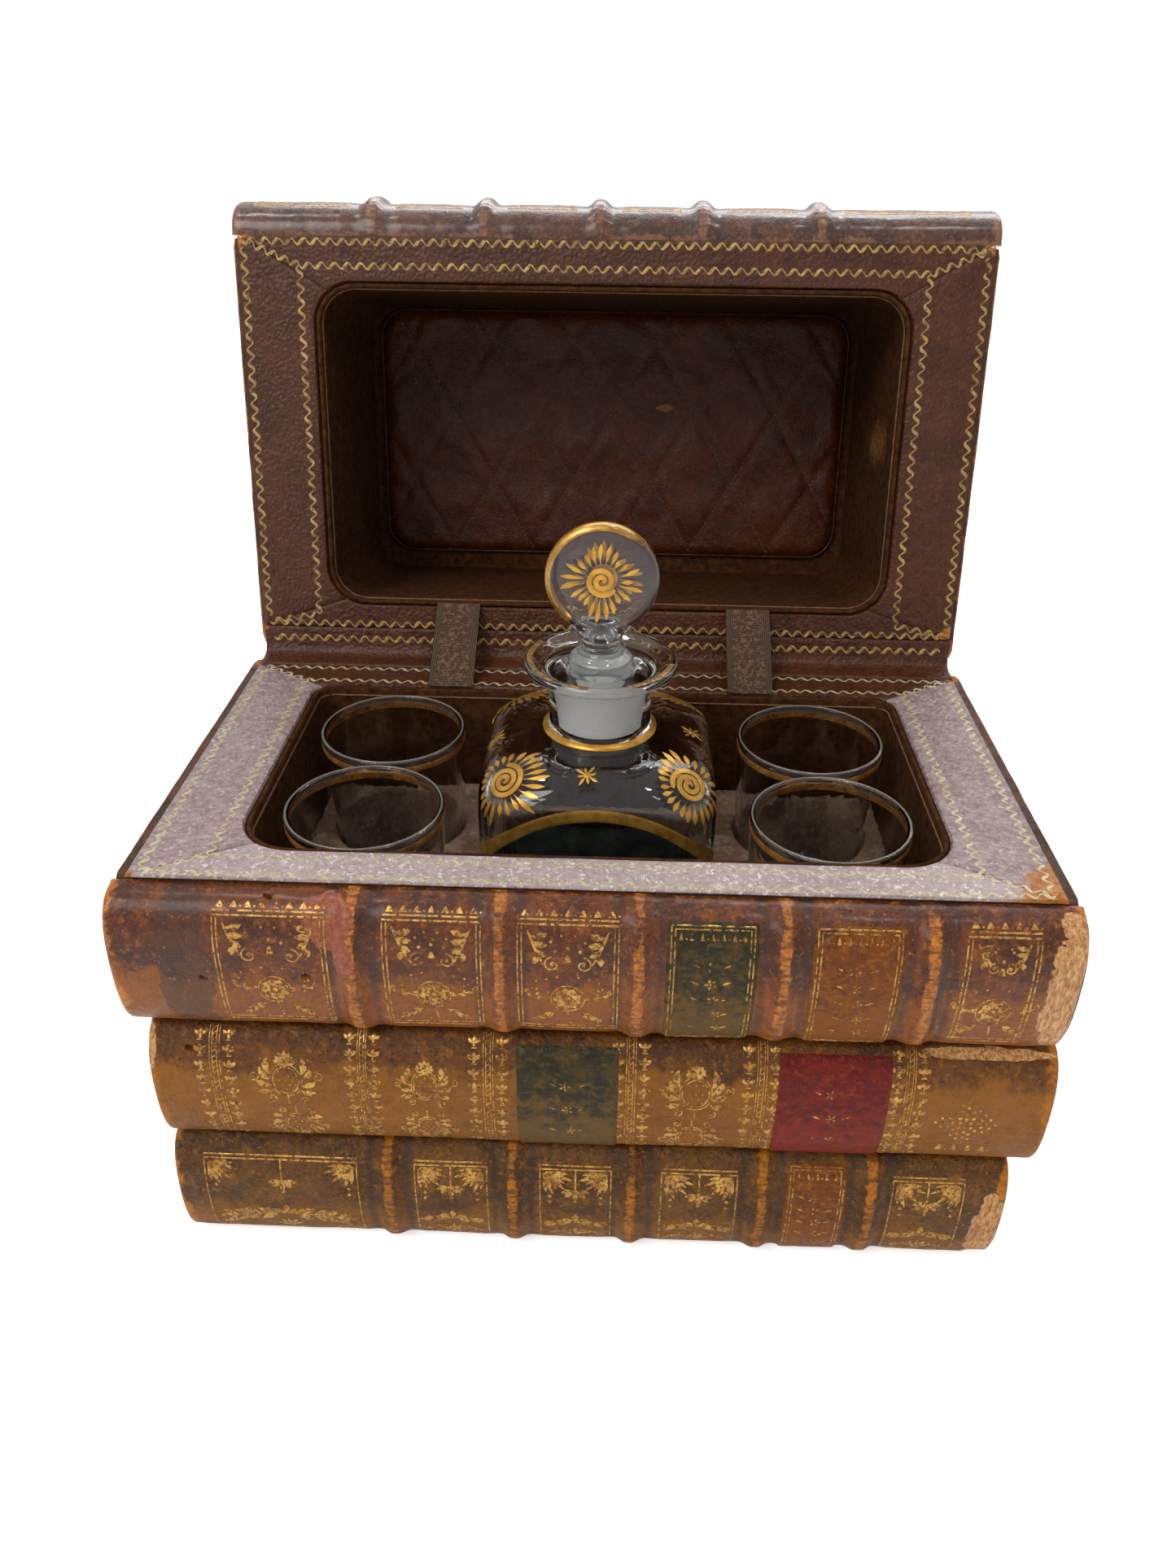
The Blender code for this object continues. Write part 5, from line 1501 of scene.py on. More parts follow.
def stopper(clear, frosted, gold):
    """Ground plug, waisted stem and gilt-edged disc."""
    low, high = extent("stopper")
    disc_middle = high.z - DISC_RADIUS
    disc_foot = disc_middle - DISC_RADIUS
    plug_foot = low.z + 0.0005
    crown = MOUTH_RADIUS - GAP
    profile = [
        (0.0004, disc_foot + 0.0012),
        (0.0040, disc_foot + 0.0012),
        (0.0051, disc_foot - 0.0003),
        (0.0053, RIM_TOP + 0.0372),
        (0.0054, RIM_TOP + 0.0352),
        (0.0063, RIM_TOP + 0.0335),
        (crown - 0.0010, RIM_TOP + 0.0328),
        (crown, RIM_TOP + 0.0318),
        (crown, PLUG_MOUTH),
        (THROAT_RADIUS - GAP, PLUG_MOUTH - 0.0034),
        (BORE_RADIUS - GAP + 0.0004, plug_foot + 0.0008),
        (BORE_RADIUS - GAP - 0.0008, plug_foot),
        (0.0004, plug_foot),
    ]
    stem = solid("stem", turned(fine_profile(profile, 0.0011, 4)))
    half = DISC_THICKNESS / 2
    shares = ((0.4, half - 0.0002), (0.80, half - 0.0002), (0.86, half))
    face = [(DISC_RADIUS * share, y) for share, y in shares]
    rings = face[:]
    for k in range(9):
        angle = math.pi * k / 8
        flat = half - DISC_EDGE if k < 4 else DISC_EDGE - half if k > 4 else 0.0
        rings.append((DISC_RADIUS - DISC_EDGE + DISC_EDGE * math.sin(angle), math.cos(angle) * DISC_EDGE + flat))
    rings += [(reach, -y) for reach, y in reversed(face)]
    disc_rings = []
    for radius, y in rings:
        disc_rings.append([Vector((x, y, disc_middle + z)) for x, z, unused in circle(radius, 0.0)])
    disc = solid("disc", disc_rings)
    web_rings = []
    for k in range(9):
        share = k / 8
        wide = between(0.0052, 0.0108, share)
        deep = between(0.0051, half - 0.0004, smooth(share))
        z = between(disc_foot - 0.0016, disc_middle - DISC_RADIUS * 0.66, share)
        bend = 1 / between(1.0, 2.2, share)
        ring = circle(1.0, 0.0, TURN_STEPS // 2)
        web_rings.append([Vector((power(x, bend) * wide, power(y, bend) * deep, z)) for x, y, unused in ring])
    shape = worked(disc, [stem, solid("web", web_rings)], "UNION")
    piece("stopper_glass", shape, clear, "stopper", ["stopper"])
    plug = [(BORE_RADIUS - GAP + 0.0004, plug_foot + 0.0010), (THROAT_RADIUS - GAP - 0.0001, PLUG_MOUTH - 0.0036)]
    hoop("ground_plug", sleeved(plug, 0.00004, -0.00005), frosted, "stopper")

    tree = BVHTree.FromPolygons(*loft(disc_rings))
    for side, name in ((1.0, "stopper_sun"), (-1.0, "stopper_sun_back")):
        at = Projection(tree, (0.0, -side * half, disc_middle), (0.0, side, 0.0))
        sun(at, 0.0050, 2.1, STOPPER_REACHES, gold, name, "stopper")
    section = []
    edge = DISC_EDGE + 0.00006
    for k in range(7):
        angle = math.pi * (0.04 + 0.92 * k / 6)
        section.append((DISC_RADIUS - DISC_EDGE + edge * math.sin(angle), math.cos(angle) * edge * 1.4))
    section += [(reach - 0.00012, y) for reach, y in reversed(section)]

    def round_disc(radius, angle, y):
        return Vector((radius * math.cos(angle), y, disc_middle + radius * math.sin(angle)))

    piece("disc_gilt_edge", arc_band(section, 42.0, 234.0, round_disc), GLASS_GOLD, "stopper")


# Soft pieces


def quilt(material, stitch):
    """The padded ceiling: leather drawn down along diamond seams, puffed and wrinkled between them."""
    low, high = extent("quilted_pad", LID)
    middle = (low + high) / 2
    width, height = high.x - low.x, high.y - low.y
    columns, rows = round(width / PAD_STEP), round(height / PAD_STEP)
    crossing_x = middle.x + QUILT_CROSSING_X
    crossing_y = low.y + QUILT_CROSSING_DROP
    face_z = low.z + 0.0018
    back_z = high.z - 0.0004
    slope = math.hypot(1 / QUILT_CELL_WIDTH, 1 / QUILT_CELL_HEIGHT)

    def seam(x, y):
        """The distance from the nearest seam."""
        along = (x - crossing_x) / QUILT_CELL_WIDTH
        across = (y - crossing_y) / QUILT_CELL_HEIGHT
        return min(abs((along + way * across + 0.5) % 1 - 0.5) for way in (1, -1)) / slope

    def past_corner(x, y):
        """How far a point lies past the centre of the nearest corner's curve, each way."""
        return abs(x - middle.x) - width / 2 + PAD_CORNER, abs(y - middle.y) - height / 2 + PAD_CORNER

    def edge(x, y):
        """The distance inside the pad's outline."""
        dx, dy = past_corner(x, y)
        return PAD_CORNER - (math.hypot(dx, dy) if dx > 0 and dy > 0 else max(dx, dy))

    def squeezed(x, y):
        """A grid point moved onto the pad's rounded corner if it lies outside it."""
        dx, dy = past_corner(x, y)
        if dx > 0 and dy > 0:
            scale = max(dx, dy) / math.hypot(dx, dy)
            x = middle.x + math.copysign(width / 2 - PAD_CORNER + dx * scale, x - middle.x)
            y = middle.y + math.copysign(height / 2 - PAD_CORNER + dy * scale, y - middle.y)
        return x, y

    front, back, held = [], [], []
    for j in range(rows + 1):
        for i in range(columns + 1):
            x, y = squeezed(between(low.x, high.x, i / columns), between(low.y, high.y, j / rows))
            rim = edge(x, y)
            front.append(Vector((x, y, face_z + rolled(rim, 0.0042) * 0.9)))
            back.append(Vector((x, y, back_z - 0.0012 * smooth(1 - rim / 0.002))))
            held.append(1.0 if rim < PAD_STEP or seam(x, y) < PAD_STEP * 0.55 else 0.0)
    count = len(front)
    stride = columns + 1
    faces = []
    for j in range(rows):
        for i in range(columns):
            a = j * stride + i
            b = a + count
            faces.append((a, a + 1, a + stride + 1, a + stride))
            faces.append((b, b + stride, b + stride + 1, b + 1))
    border = list(range(columns)) + [columns + stride * j for j in range(rows)]
    border += [stride * rows + i for i in range(columns, 0, -1)] + [stride * j for j in range(rows, 0, -1)]
    for here, there in zip(border, border[1:] + border[:1]):
        faces.append((here, here + count, there + count, there))
    points = front + back
    points = puffed(points, faces, held + [1.0] * count)
    for point in points[:count]:
        x, y = point.x, point.y
        from_seam, from_edge = seam(x, y), edge(x, y)
        point.z += 0.0006 * math.exp(-((from_seam / 0.0009) ** 2)) * clamp(from_edge / 0.004)
        point.z += 0.00010 * ripple(0.0060, x * 1.6, y, 3.0) * clamp(from_seam / 0.003)
        point.z = clamp(point.z, low.z + 0.0002, back_z - 0.0005)
    wear = []
    for point in points:
        far = math.hypot((point.x - QUILT_SCUFF[0]) / 0.0042, (point.y - QUILT_SCUFF[1]) / 0.0019)
        wear.append(clamp(1.3 - far))
    shape, values = (points, faces), {"wear": wear}
    pad = piece("quilted_panel", shape, material, "lid", ["quilted_pad"], values)

    tree = BVHTree.FromPolygons(points, faces)
    run = Tooling(lambda u, v, lift: surface_point(tree, u, v, low.z - 0.01, lift), 0.00016)
    steps = int(height / STITCH_PITCH)
    for sign in (1, -1):
        for k in range(-14, 15):
            for j in range(steps):
                y = low.y + height * (j + 0.5) / steps
                spots = []
                for v in (y, y - STITCH_HALF, y + STITCH_HALF):
                    along = k - sign * (v - crossing_y) / QUILT_CELL_HEIGHT
                    spots.append((crossing_x + along * QUILT_CELL_WIDTH, v))
                x = spots[0][0]
                if edge(x, y) > 0.0022 and abs(x - middle.x) < width / 2:
                    run.stroke(spots[1:], 0.00036)
    run.build("quilt_stitches", stitch, "lid")


def surface_point(tree, u, v, z, lift):
    spot = tree.ray_cast(Vector((u, v, z)), Vector((0.0, 0.0, 1.0)))[0]
    if spot is None:
        return Vector((u, v, z + 0.01))
    return spot + Vector((0.0, 0.0, -lift))


def puffed(points, faces, held):
    """The points after those that aren't held have been blown up and slackened like cloth."""
    obj = new_object("cloth", points, faces)
    group = obj.vertex_groups.new(name="held")
    for index, weight in enumerate(held):
        if weight:
            group.add([index], weight, "REPLACE")
    cloth = obj.modifiers.new("cloth", "CLOTH")
    settings = cloth.settings
    settings.quality = 6
    settings.mass = 0.2
    settings.tension_stiffness = 40
    settings.compression_stiffness = 20
    settings.shear_stiffness = 20
    settings.bending_stiffness = 4.0
    settings.vertex_group_mass = "held"
    settings.pin_stiffness = 50
    settings.shrink_min = -0.004
    settings.use_pressure = True
    settings.uniform_pressure_force = 3.0
    settings.effector_weights.gravity = 0.0
    scene = bpy.context.scene
    for number in range(1, 21):
        scene.frame_set(number)
    evaluated = obj.evaluated_get(bpy.context.evaluated_depsgraph_get())
    result = []
    for before, vertex in zip(points, evaluated.data.vertices):
        move = vertex.co - before
        if move.length > PUFF_CAP:
            move *= PUFF_CAP / move.length
        result.append(before + move)
    bpy.data.objects.remove(obj, do_unlink=True)
    scene.frame_set(1)
    return result


def ribbon(name, material):
    """A woven ribbon with corded selvedges, pulled straight between the two openings."""
    low, high = extent(name)
    width = high.x - low.x
    middle = (low.x + high.x) / 2
    bottom = Vector((low.y, low.z))
    top = Vector((high.y, high.z))
    run = (top - bottom).length
    along = (top - bottom).normalized()
    normal = Vector((-along.y, along.x))
    across_count = 34
    along_count = round(run / 0.00055)
    offsets = [(i / across_count - 0.5) * (width - 0.0002) for i in range(across_count + 1)]
    rings = []
    shades = {"along": [], "across": []}
    for j in range(along_count + 1):
        share = j / along_count
        sag = 0.00030 * math.sin(math.pi * share)
        centre = bottom.lerp(top, 0.006 + 0.988 * share) - normal * sag
        upper, under = [], []
        for u in offsets:
            edge_cord = clamp(1 - abs(abs(u) - width / 2 + 0.0007) / 0.0007)
            body = RIBBON_THICKNESS / 2 + 0.00010 * math.sqrt(edge_cord)
            buckle = 0.00010 * math.sin(math.tau * u / width * 1.5 + share * 5)
            for row, lift in ((upper, buckle + body), (under, buckle - body)):
                spot = centre + normal * lift
                row.append(Vector((middle + u, spot.x, spot.y)))
        shades["across"] += offsets + offsets[::-1]
        shades["along"] += [share * run] * (2 * len(offsets))
        rings.append(upper + under[::-1])
    band = piece(f"{name}_woven", loft(rings), material, "case", [name], shades)
    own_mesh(band)


def fold(material):
    """The leather over the hinge: a wing on each frame and the valley between them."""
    half = extent("hinge_leather")[1].x
    wing = -HINGE_OFFSET - HINGE_WING
    c, s = math.cos(OPEN_ANGLE), math.sin(OPEN_ANGLE)

    def opened(y, z):
        """A place of the shut lid, in the turned lid's coordinates."""
        return Vector((y * c + z * s, z * c - y * s))

    first = Vector((-HINGE_OFFSET, FOLD_BASE[0]))
    last = opened(-HINGE_OFFSET, FOLD_LID[0])
    corners = [
        (wing, FOLD_BASE[0] - 0.0006),
        (wing + 0.0006, FOLD_BASE[0]),
        (-HINGE_OFFSET - 0.0004, FOLD_BASE[0]),
        first.lerp(last, 0.5) + Vector((0.0004, -0.0004)),
        opened(-HINGE_OFFSET - 0.0004, FOLD_LID[0]),
        opened(wing + 0.0006, FOLD_LID[0]),
        opened(wing, FOLD_LID[0] + 0.0006),
    ]
    outer = soften([(y, z, 0.0) for y, z in corners], 0.0009, 5)
    fine = []
    for here, there in zip(outer, outer[1:]):
        steps = max(1, round((there - here).length / 0.0006))
        fine += [here.lerp(there, k / steps) for k in range(steps)]
    fine.append(outer[-1])
    under = [opened(wing, FOLD_LID[1])]
    y, z = opened(-HINGE_OFFSET, FOLD_LID[1])
    start = math.atan2(z, y)
    stop = math.atan2(FOLD_BASE[1], -HINGE_OFFSET)
    radius = math.hypot(HINGE_OFFSET, FOLD_BASE[1])
    for step in range(13):
        angle = start + (stop - start) * step / 12
        under.append(Vector((radius * math.cos(angle), radius * math.sin(angle))))
    under.append(Vector((wing, FOLD_BASE[1])))
    rings = []
    wear = []
    columns = round(2 * half / RIM_STEP)
    for i in range(columns + 1):
        x = between(-half, half, i / columns)
        from_end = half - abs(x)
        ring = []
        for point in fine:
            y, z = point.x, point.y
            bend = math.exp(-((y + HINGE_OFFSET) ** 2 + z * z) / 0.0030**2)
            z += 0.00016 * ripple(0.012, x, y, z) * bend - rolled(from_end, 0.0010) * 0.3
            z += 0.00010 * ripple(0.003, x * 0.4, y, z) * bend
            ring.append(PIVOT + Vector((x, y, z)))
        ring += [PIVOT + Vector((x, point.x, point.y)) for point in under]
        wear += [clamp(0.45 * smooth(1 - from_end / 0.004))] * len(ring)
        rings.append(ring)
    values = {"wear": wear}
    valley = piece("hinge_fold", loft(rings), material, None, ["hinge_leather"], values)
    start = PIVOT + Vector((0.0, -HINGE_OFFSET, -0.0002))
    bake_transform(valley)


# Ornament on the spines


def flower(work, u, v, radius, petals, turn):
    for k in range(petals):
        angle = turn + math.tau * k / petals
        near = radius * 0.30
        work.petal(u + near * math.cos(angle), v + near * math.sin(angle), angle, radius * 0.70, radius * 0.42, 0.9)
    work.disc(u, v, radius * 0.20)


def sprig(work, u, v, side, size):
    """A flower stem that leans to one side, with leaves, buds and a curl at its end."""
    stem = bow((u, v), (u + side * size * 1.5, v + size * 0.45), side * size * 0.32)
    work.stroke(stem, 0.00034)
    for share, turn, reach in ((0.25, 1.9, 0.34), (0.45, -0.7, 0.40), (0.62, 1.5, 0.36), (0.8, -0.5, 0.30)):
        spot = stem[int(share * (len(stem) - 1))]
        work.petal(*spot, leaned(turn, side), size * reach, size * 0.16, 0.9, 0.5 * side)
    work.curl(u + side * size * 1.5, v + size * 0.62, size * 0.20, 1.2 * side, 0.4, 0.0003)
    work.disc(u + side * size * 0.9, v + size * 0.85, 0.00040)
    work.disc(u + side * size * 1.15, v + size * 0.95, 0.00030)


def corner_scroll(work, u, v, side, size):
    """A leafy scroll that hangs from a panel's upper corner."""
    stem = bow((u, v), (u + side * size * 0.42, v - size * 0.98), side * size * 0.26, 14)
    work.stroke(stem, lambda share: 0.00030 + 0.00042 * math.sin(math.pi * share))
    work.curl(u + side * size * 0.66, v - size * 0.98, size * 0.24, -1.25 * side, 3.2 if side > 0 else 0.0, 0.00040)
    work.disc(u + side * size * 0.66, v - size * 0.98, 0.00042)
    for share, turn, reach in ((0.12, -0.35, 0.46), (0.30, -0.75, 0.42), (0.50, -1.15, 0.36), (0.74, -2.4, 0.30)):
        work.petal(*stem[round(share * 14)], leaned(turn, side), size * reach, size * 0.15, 1.3, 0.5 * side)
    work.disc(u + side * size * 0.62, v - size * 0.30, 0.00040)


def scallops(work, low, high, v, pitch=0.0034, height=0.0017):
    """A row of solid pointed drops."""
    count = max(2, round((high - low) / pitch))
    for k in range(count):
        u = low + (high - low) * (k + 0.5) / count
        work.stroke([(u, v + height * q / 4) for q in range(5)], lambda share: pitch * 0.42 * (1.02 - share) ** 0.7)
        work.disc(u + (high - low) / count / 2, v + 0.0004, 0.00030, 6)


def spray(work, u, v, angle, length, leaves=5):
    """A stem with pairs of leaves, like an ear of wheat."""
    stem = straight((u, v), (u + length * math.cos(angle), v + length * math.sin(angle)), length / 8)
    work.stroke(stem, 0.00034)
    for k in range(leaves):
        spot = stem[1 + round(k * (len(stem) - 2) / leaves)]
        for side in (-1, 1):
            work.petal(*spot, angle + side * 0.62, length * 0.30, length * 0.085, 1.0)
    work.petal(*stem[-1], angle, length * 0.24, length * 0.09, 1.0)


def side_rules(work, low, high, top, foot, both=True):
    for u in (low, low + 0.0010, high - 0.0010, high) if both else (low, high):
        work.rule((u, top), (u, foot), 0.00034)


def flower_panel(work, low, high):
    """A panel between two bands of the upper book."""
    middle = (low + high) / 2
    side_rules(work, low, high, 0.0170, -0.0150)
    scallops(work, low, high, 0.0196)
    for v in (0.0188, 0.0176, -0.0142, -0.0156):
        work.rule((low, v), (high, v), 0.00042)
    size = 0.0092 * min(1.0, (high - low) / 0.024)
    for side, u in ((1, low + 0.0024), (-1, high - 0.0024)):
        corner_scroll(work, u, 0.0160, side, size)
        work.disc(middle - side * 0.0030, 0.0108, 0.00050)
        work.disc(middle - side * 0.0016, 0.0148, 0.00036)
    work.stroke([(middle, 0.0098), (middle, 0.0090), (middle, 0.0078)], lambda share: 0.0003 + 0.0011 * share)
    work.disc(middle, 0.0116, 0.00048)
    flower(work, middle, -0.0036, 0.0037, 9, 0.4)
    work.curl(middle, -0.0036, 0.0042, 1.0, 0.0, 0.00030, 0.98, 24)
    for side in (-1, 1):
        sprig(work, middle + side * 0.0040, -0.0040, side, 0.0040)
        spray(work, middle + side * 0.0030, -0.0084, leaned(-0.6, side), 0.0058)
        for k in range(3):
            work.disc(middle + side * (0.0026 + 0.0026 * k), 0.0034 - 0.0008 * k, 0.00034)
    work.stroke(bow((middle, -0.0080), (middle + 0.0008, -0.0130), 0.001), 0.00040)


def fan_panel(work, low, high):
    """A panel of the lowest book: fans in the upper corners, a hanging flower and leafy sprays."""
    middle = (low + high) / 2
    for v in (0.0152, 0.0140, -0.0150):
        work.rule((low, v), (high, v), 0.00040)
    side_rules(work, low, high, 0.0140, -0.0150, False)
    for side, u in ((1, low + 0.0009), (-1, high - 0.0009)):
        for k in range(7):
            angle = leaned(-math.pi / 2 * (k + 0.5) / 7, side)
            reach = 0.0080 if k % 2 else 0.0064
            work.petal(u + 0.0007 * math.cos(angle), 0.0134 + 0.0007 * math.sin(angle), angle, reach, 0.00095, 1.5)
        for drop in (0.0046, 0.0022):
            work.disc(u + side * 0.0018, drop, 0.00060)
        spray(work, middle + side * 0.0008, -0.0062, leaned(-0.15, side), (high - low) * 0.36, 6)
        spray(work, u + side * 0.0010, -0.0130, leaned(0.42, side), 0.0050, 4)
    work.stroke(bow((middle, 0.0138), (middle, 0.0062), 0.0006), 0.00042)
    for angle in (-2.4, -math.pi / 2, -0.75, -0.2, math.pi + 0.2):
        work.petal(middle, 0.0070, angle, 0.0040, 0.0013, 1.4)
    work.disc(middle, 0.0026, 0.0006)
    for turn in (0.4, math.pi / 2, 2.7):
        work.petal(middle, -0.0066, turn, 0.0040, 0.0014, 1.2)
    for k in range(5):
        work.petal(middle, -0.0136, math.pi * (0.15 + 0.175 * k), 0.0044, 0.0009, 1.3)


def roll_band(work, u, half):
    """Thin rules down the middle and a column of small flower stamps on either side."""
    top, foot = 0.0220, -0.0180
    for off in (-0.30, -0.14, 0.14, 0.30):
        work.rule((u + off * half, top), (u + off * half, foot), 0.00026)
    ropes = round((top - foot) / 0.0016)
    for k in range(ropes):
        v = top - (k + 0.5) * (top - foot) / ropes
        work.stroke([(u - half * 0.10, v - 0.0004), (u + half * 0.10, v + 0.0004)], 0.00024)
    count = round((top - foot) / 0.0044)
    for side in (-1, 1):
        for k in range(count):
            v = top - (k + 0.5) * (top - foot) / count
            spot = u + side * half * 0.86
            for turn in (-0.75, 0.0, 0.75):
                work.petal(spot, v - 0.0012, math.pi / 2 + turn, 0.0024, 0.0009, 1.5)
            work.disc(spot, v - 0.0014, 0.00045, 8)
            work.stroke([(spot - 0.0007, v - 0.0021), (spot + 0.0007, v - 0.0021)], 0.00030)


def fleuron(work, u, v, size, up=1.0):
    """A dotted fruit with leaves round it, as a single large tool prints it."""
    for grow, width in ((1.0, 0.00036), (1.22, 0.00028)):
        oval = []
        for k in range(20):
            angle = math.tau * k / 20
            oval.append((u + size * 0.40 * grow * math.cos(angle), v + up * size * 0.52 * grow * math.sin(angle)))
        work.stroke(oval, width, closed=True)
    for row in range(-2, 3):
        for column in range(-1, 2):
            x = u + size * 0.20 * column + (size * 0.10 if row % 2 else 0.0)
            y = v + up * size * 0.17 * row
            if math.hypot((x - u) / 0.40, (y - v) / 0.52) < size * 0.84:
                work.disc(x, y, 0.00028, 6)
    for k in range(7):
        angle = math.pi / 2 * up + (k - 3) * 0.36
        work.petal(u, v + up * size * 0.56, angle, size * (0.52 - 0.05 * abs(k - 3)), size * 0.14, 1.4)
    for side in (-1, 1):
        for k, turn in enumerate((0.75, 0.25, -0.30, -0.85)):
            angle = leaned(turn * up, side)
            start = (u + side * size * 0.44, v + up * size * (0.22 - 0.20 * k))
            work.petal(*start, angle, size * (0.64 - 0.06 * k), size * 0.17, 1.2, 0.7 * up * side)
        work.curl(u + side * size * 0.98, v + up * size * 0.16, size * 0.18, 1.3 * side, 0.0, 0.00032)
        work.curl(u + side * size * 0.50, v - up * size * 0.78, size * 0.16, -1.3 * side, 0.0, 0.00032)
        work.disc(u + side * size * 0.72, v + up * size * 0.78, 0.00036)
    work.rule((u, v - up * size * 0.58), (u, v - up * size * 1.02), 0.0004)


def lozenge(work, u, v, size):
    """Nested diamonds of dots."""
    corners = ((1.0, 0.0), (0.0, 1.0), (-1.0, 0.0), (0.0, -1.0), (1.0, 0.0))
    for grow, radius in ((1.0, 0.00050), (0.72, 0.00058), (0.44, 0.00062), (0.18, 0.00060)):
        steps = max(1, round(5 * grow))
        for here, there in zip(corners, corners[1:]):
            for k in range(steps):
                x = between(here[0], there[0], k / steps) * grow
                y = between(here[1], there[1], k / steps) * grow
                work.disc(u + size * x, v + size * y, radius, 7)


def label_ornament(work, low, high, top, foot, ruled):
    """Worn rules and a few small flowers where a title would be."""
    if ruled:
        for inset in (0.0010, 0.0019):
            left, right, under, upper = low + inset, high - inset, foot + inset, top - inset
            box = [(left, under), (right, under), (right, upper), (left, upper)]
            for start, end in zip(box, box[1:] + box[:1]):
                work.rule(start, end, 0.00042)
        scallops(work, low + 0.002, high - 0.002, top - 0.0046, 0.0024, 0.0018)
    middle = (low + high) / 2
    for k in range(5 if ruled else 3):
        v = between(top, foot, 0.30 + 0.13 * k if ruled else 0.30 + 0.22 * k)
        flower(work, middle + 0.0008 * (k - 1), v, 0.0016, 5, 0.7 * k)
        for side in (-1, 1):
            work.petal(middle + side * 0.0028, v, leaned(0.4, side), 0.0022, 0.0006, 1.0)


# Lines, light and camera


def rim_lines(opening, lines, gold):
    work = Tooling(opening.at, FOIL_LIFT)
    for start, end in lines:
        work.wave(start, end)
    work.build(f"{opening.rims}_wave_lines", gold, opening.body)


def studio():
    """A white floor and soft light from above, the front and behind."""
    floor = Finish("floor")
    floor.base = floor.mix(floor.speckle(0.4, 2.0, 0.4), (250, 250, 249), (253, 253, 252))
    glow = floor.maths("MULTIPLY", floor.node("LightPath", "Is Camera Ray"), FLOOR_GLOW)
    floor.set(Base_Color=floor.base, Roughness=0.9, Emission_Color=WHITE, Emission_Strength=glow)
    corners = [(x * FLOOR_REACH, y * FLOOR_REACH, 0) for x, y in ((-1, -1), (1, -1), (1, 1), (-1, 1))]
    obj = new_object("floor", corners, [(0, 1, 2, 3)])
    obj.data.materials.append(floor.material)

    world = bpy.data.worlds.new("world")
    bpy.context.scene.world = world
    world.use_nodes = True
    sky = Nodes(world.node_tree)
    seen = sky.node("LightPath", "Is Camera Ray")
    level = sky.node("MapRange", "Result", {"Value": seen, "To Min": WORLD_LEVEL, "To Max": 1.0})
    background = sky.nodes["Background"]
    sky.put(background.inputs["Strength"], level)
    sky.put(background.inputs["Color"], WHITE)

    for name, place, target, size, watts in LIGHTS:
        light = bpy.data.lights.new(name, "AREA")
        light.shape = "RECTANGLE"
        light.size, light.size_y = size
        light.energy = watts
        lamp = linked(name, light)
        lamp.location = place
        lamp.rotation_euler = (Vector(target) - Vector(place)).to_track_quat("-Z", "Y").to_euler()
    bpy.context.scene.view_settings.view_transform = "Standard"


def main_camera():
    camera = bpy.data.cameras.new("camera")
    camera.lens = LENS
    camera.sensor_width = 36.0
    camera.clip_start = 0.01
    obj = linked("camera", camera)
    turn = Matrix.Rotation(CAMERA_YAW, 3, "Z")
    forward = turn @ Matrix.Rotation(-CAMERA_PITCH, 3, "X") @ Vector((0.0, 1.0, 0.0))
    right = turn @ Vector((1.0, 0.0, 0.0))
    up = right.cross(forward)
    c, s = math.cos(CAMERA_ROLL), math.sin(CAMERA_ROLL)
    side = right * c + up * s
    top = up * c - right * s
    axes = Matrix((side, top, -forward)).transposed().to_4x4()
    obj.matrix_world = Matrix.Translation(CAMERA_PLACE) @ axes
    bpy.context.scene.camera = obj


# What each book is made of: name, whether it is in the lid, finish, boards that the opening cuts,
# whether the opening ends inside the leaves as a pocket, and the height of the lower tone's top
VOLUMES = (
    ("volume_1", False, "dark_calf", ("upper",), True, -0.004),
    ("volume_2", False, "tan_calf", ("lower", "upper"), False, 0.011),
    ("volume_3", False, "brown_calf", ("lower", "upper"), False, 0.001),
    ("volume_4", True, "brown_calf", ("lower", "upper"), False, -0.040),
    ("volume_5", True, "dark_calf", ("lower",), False, -0.040),
)
BAND_SHARES = {
    "volume_1": (-0.48, -0.18, 0.105, 0.418, 0.675),
    "volume_3": (-0.49, -0.185, 0.10, 0.395, 0.69),
    "volume_4": (-0.634, -0.338, -0.036, 0.233, 0.536),
    "volume_5": (-0.55, -0.27, 0.005, 0.285, 0.56),
}
# Damage on the spines: kind, place along and above the middle, and how far it reaches each way
SPOTS = {
    "volume_1": (
        ("paper", 0.1125, -0.0070, 0.0050, 0.0170),
        ("paper", 0.0160, 0.0020, 0.0005, 0.0005),
    ),
    "volume_2": (
        ("paper", -0.1155, 0.0150, 0.0022, 0.0075),
        ("hole", -0.1043, 0.0150, 0.0007, 0.0007),
        ("paper", 0.1030, 0.0204, 0.0180, 0.0018),
    ),
    "volume_3": (
        ("stain", -0.0995, 0.0, 0.0062, 0.0300),
        ("patch", -0.0638, 0.0170, 0.0061, 0.0074),
        ("patch", -0.0602, 0.0080, 0.0022, 0.0060),
        ("hole", -0.0954, -0.0005, 0.0006, 0.0006),
        ("hole", -0.0698, 0.0010, 0.0007, 0.0007),
        ("hole", -0.0783, 0.0230, 0.0007, 0.0006),
        ("stain", 0.0846, 0.0040, 0.0011, 0.0200),
        ("paper", 0.1170, 0.0010, 0.0072, 0.0240),
    ),
    "volume_4": (("stain", 0.0700, 0.0060, 0.0040, 0.0060),),
}
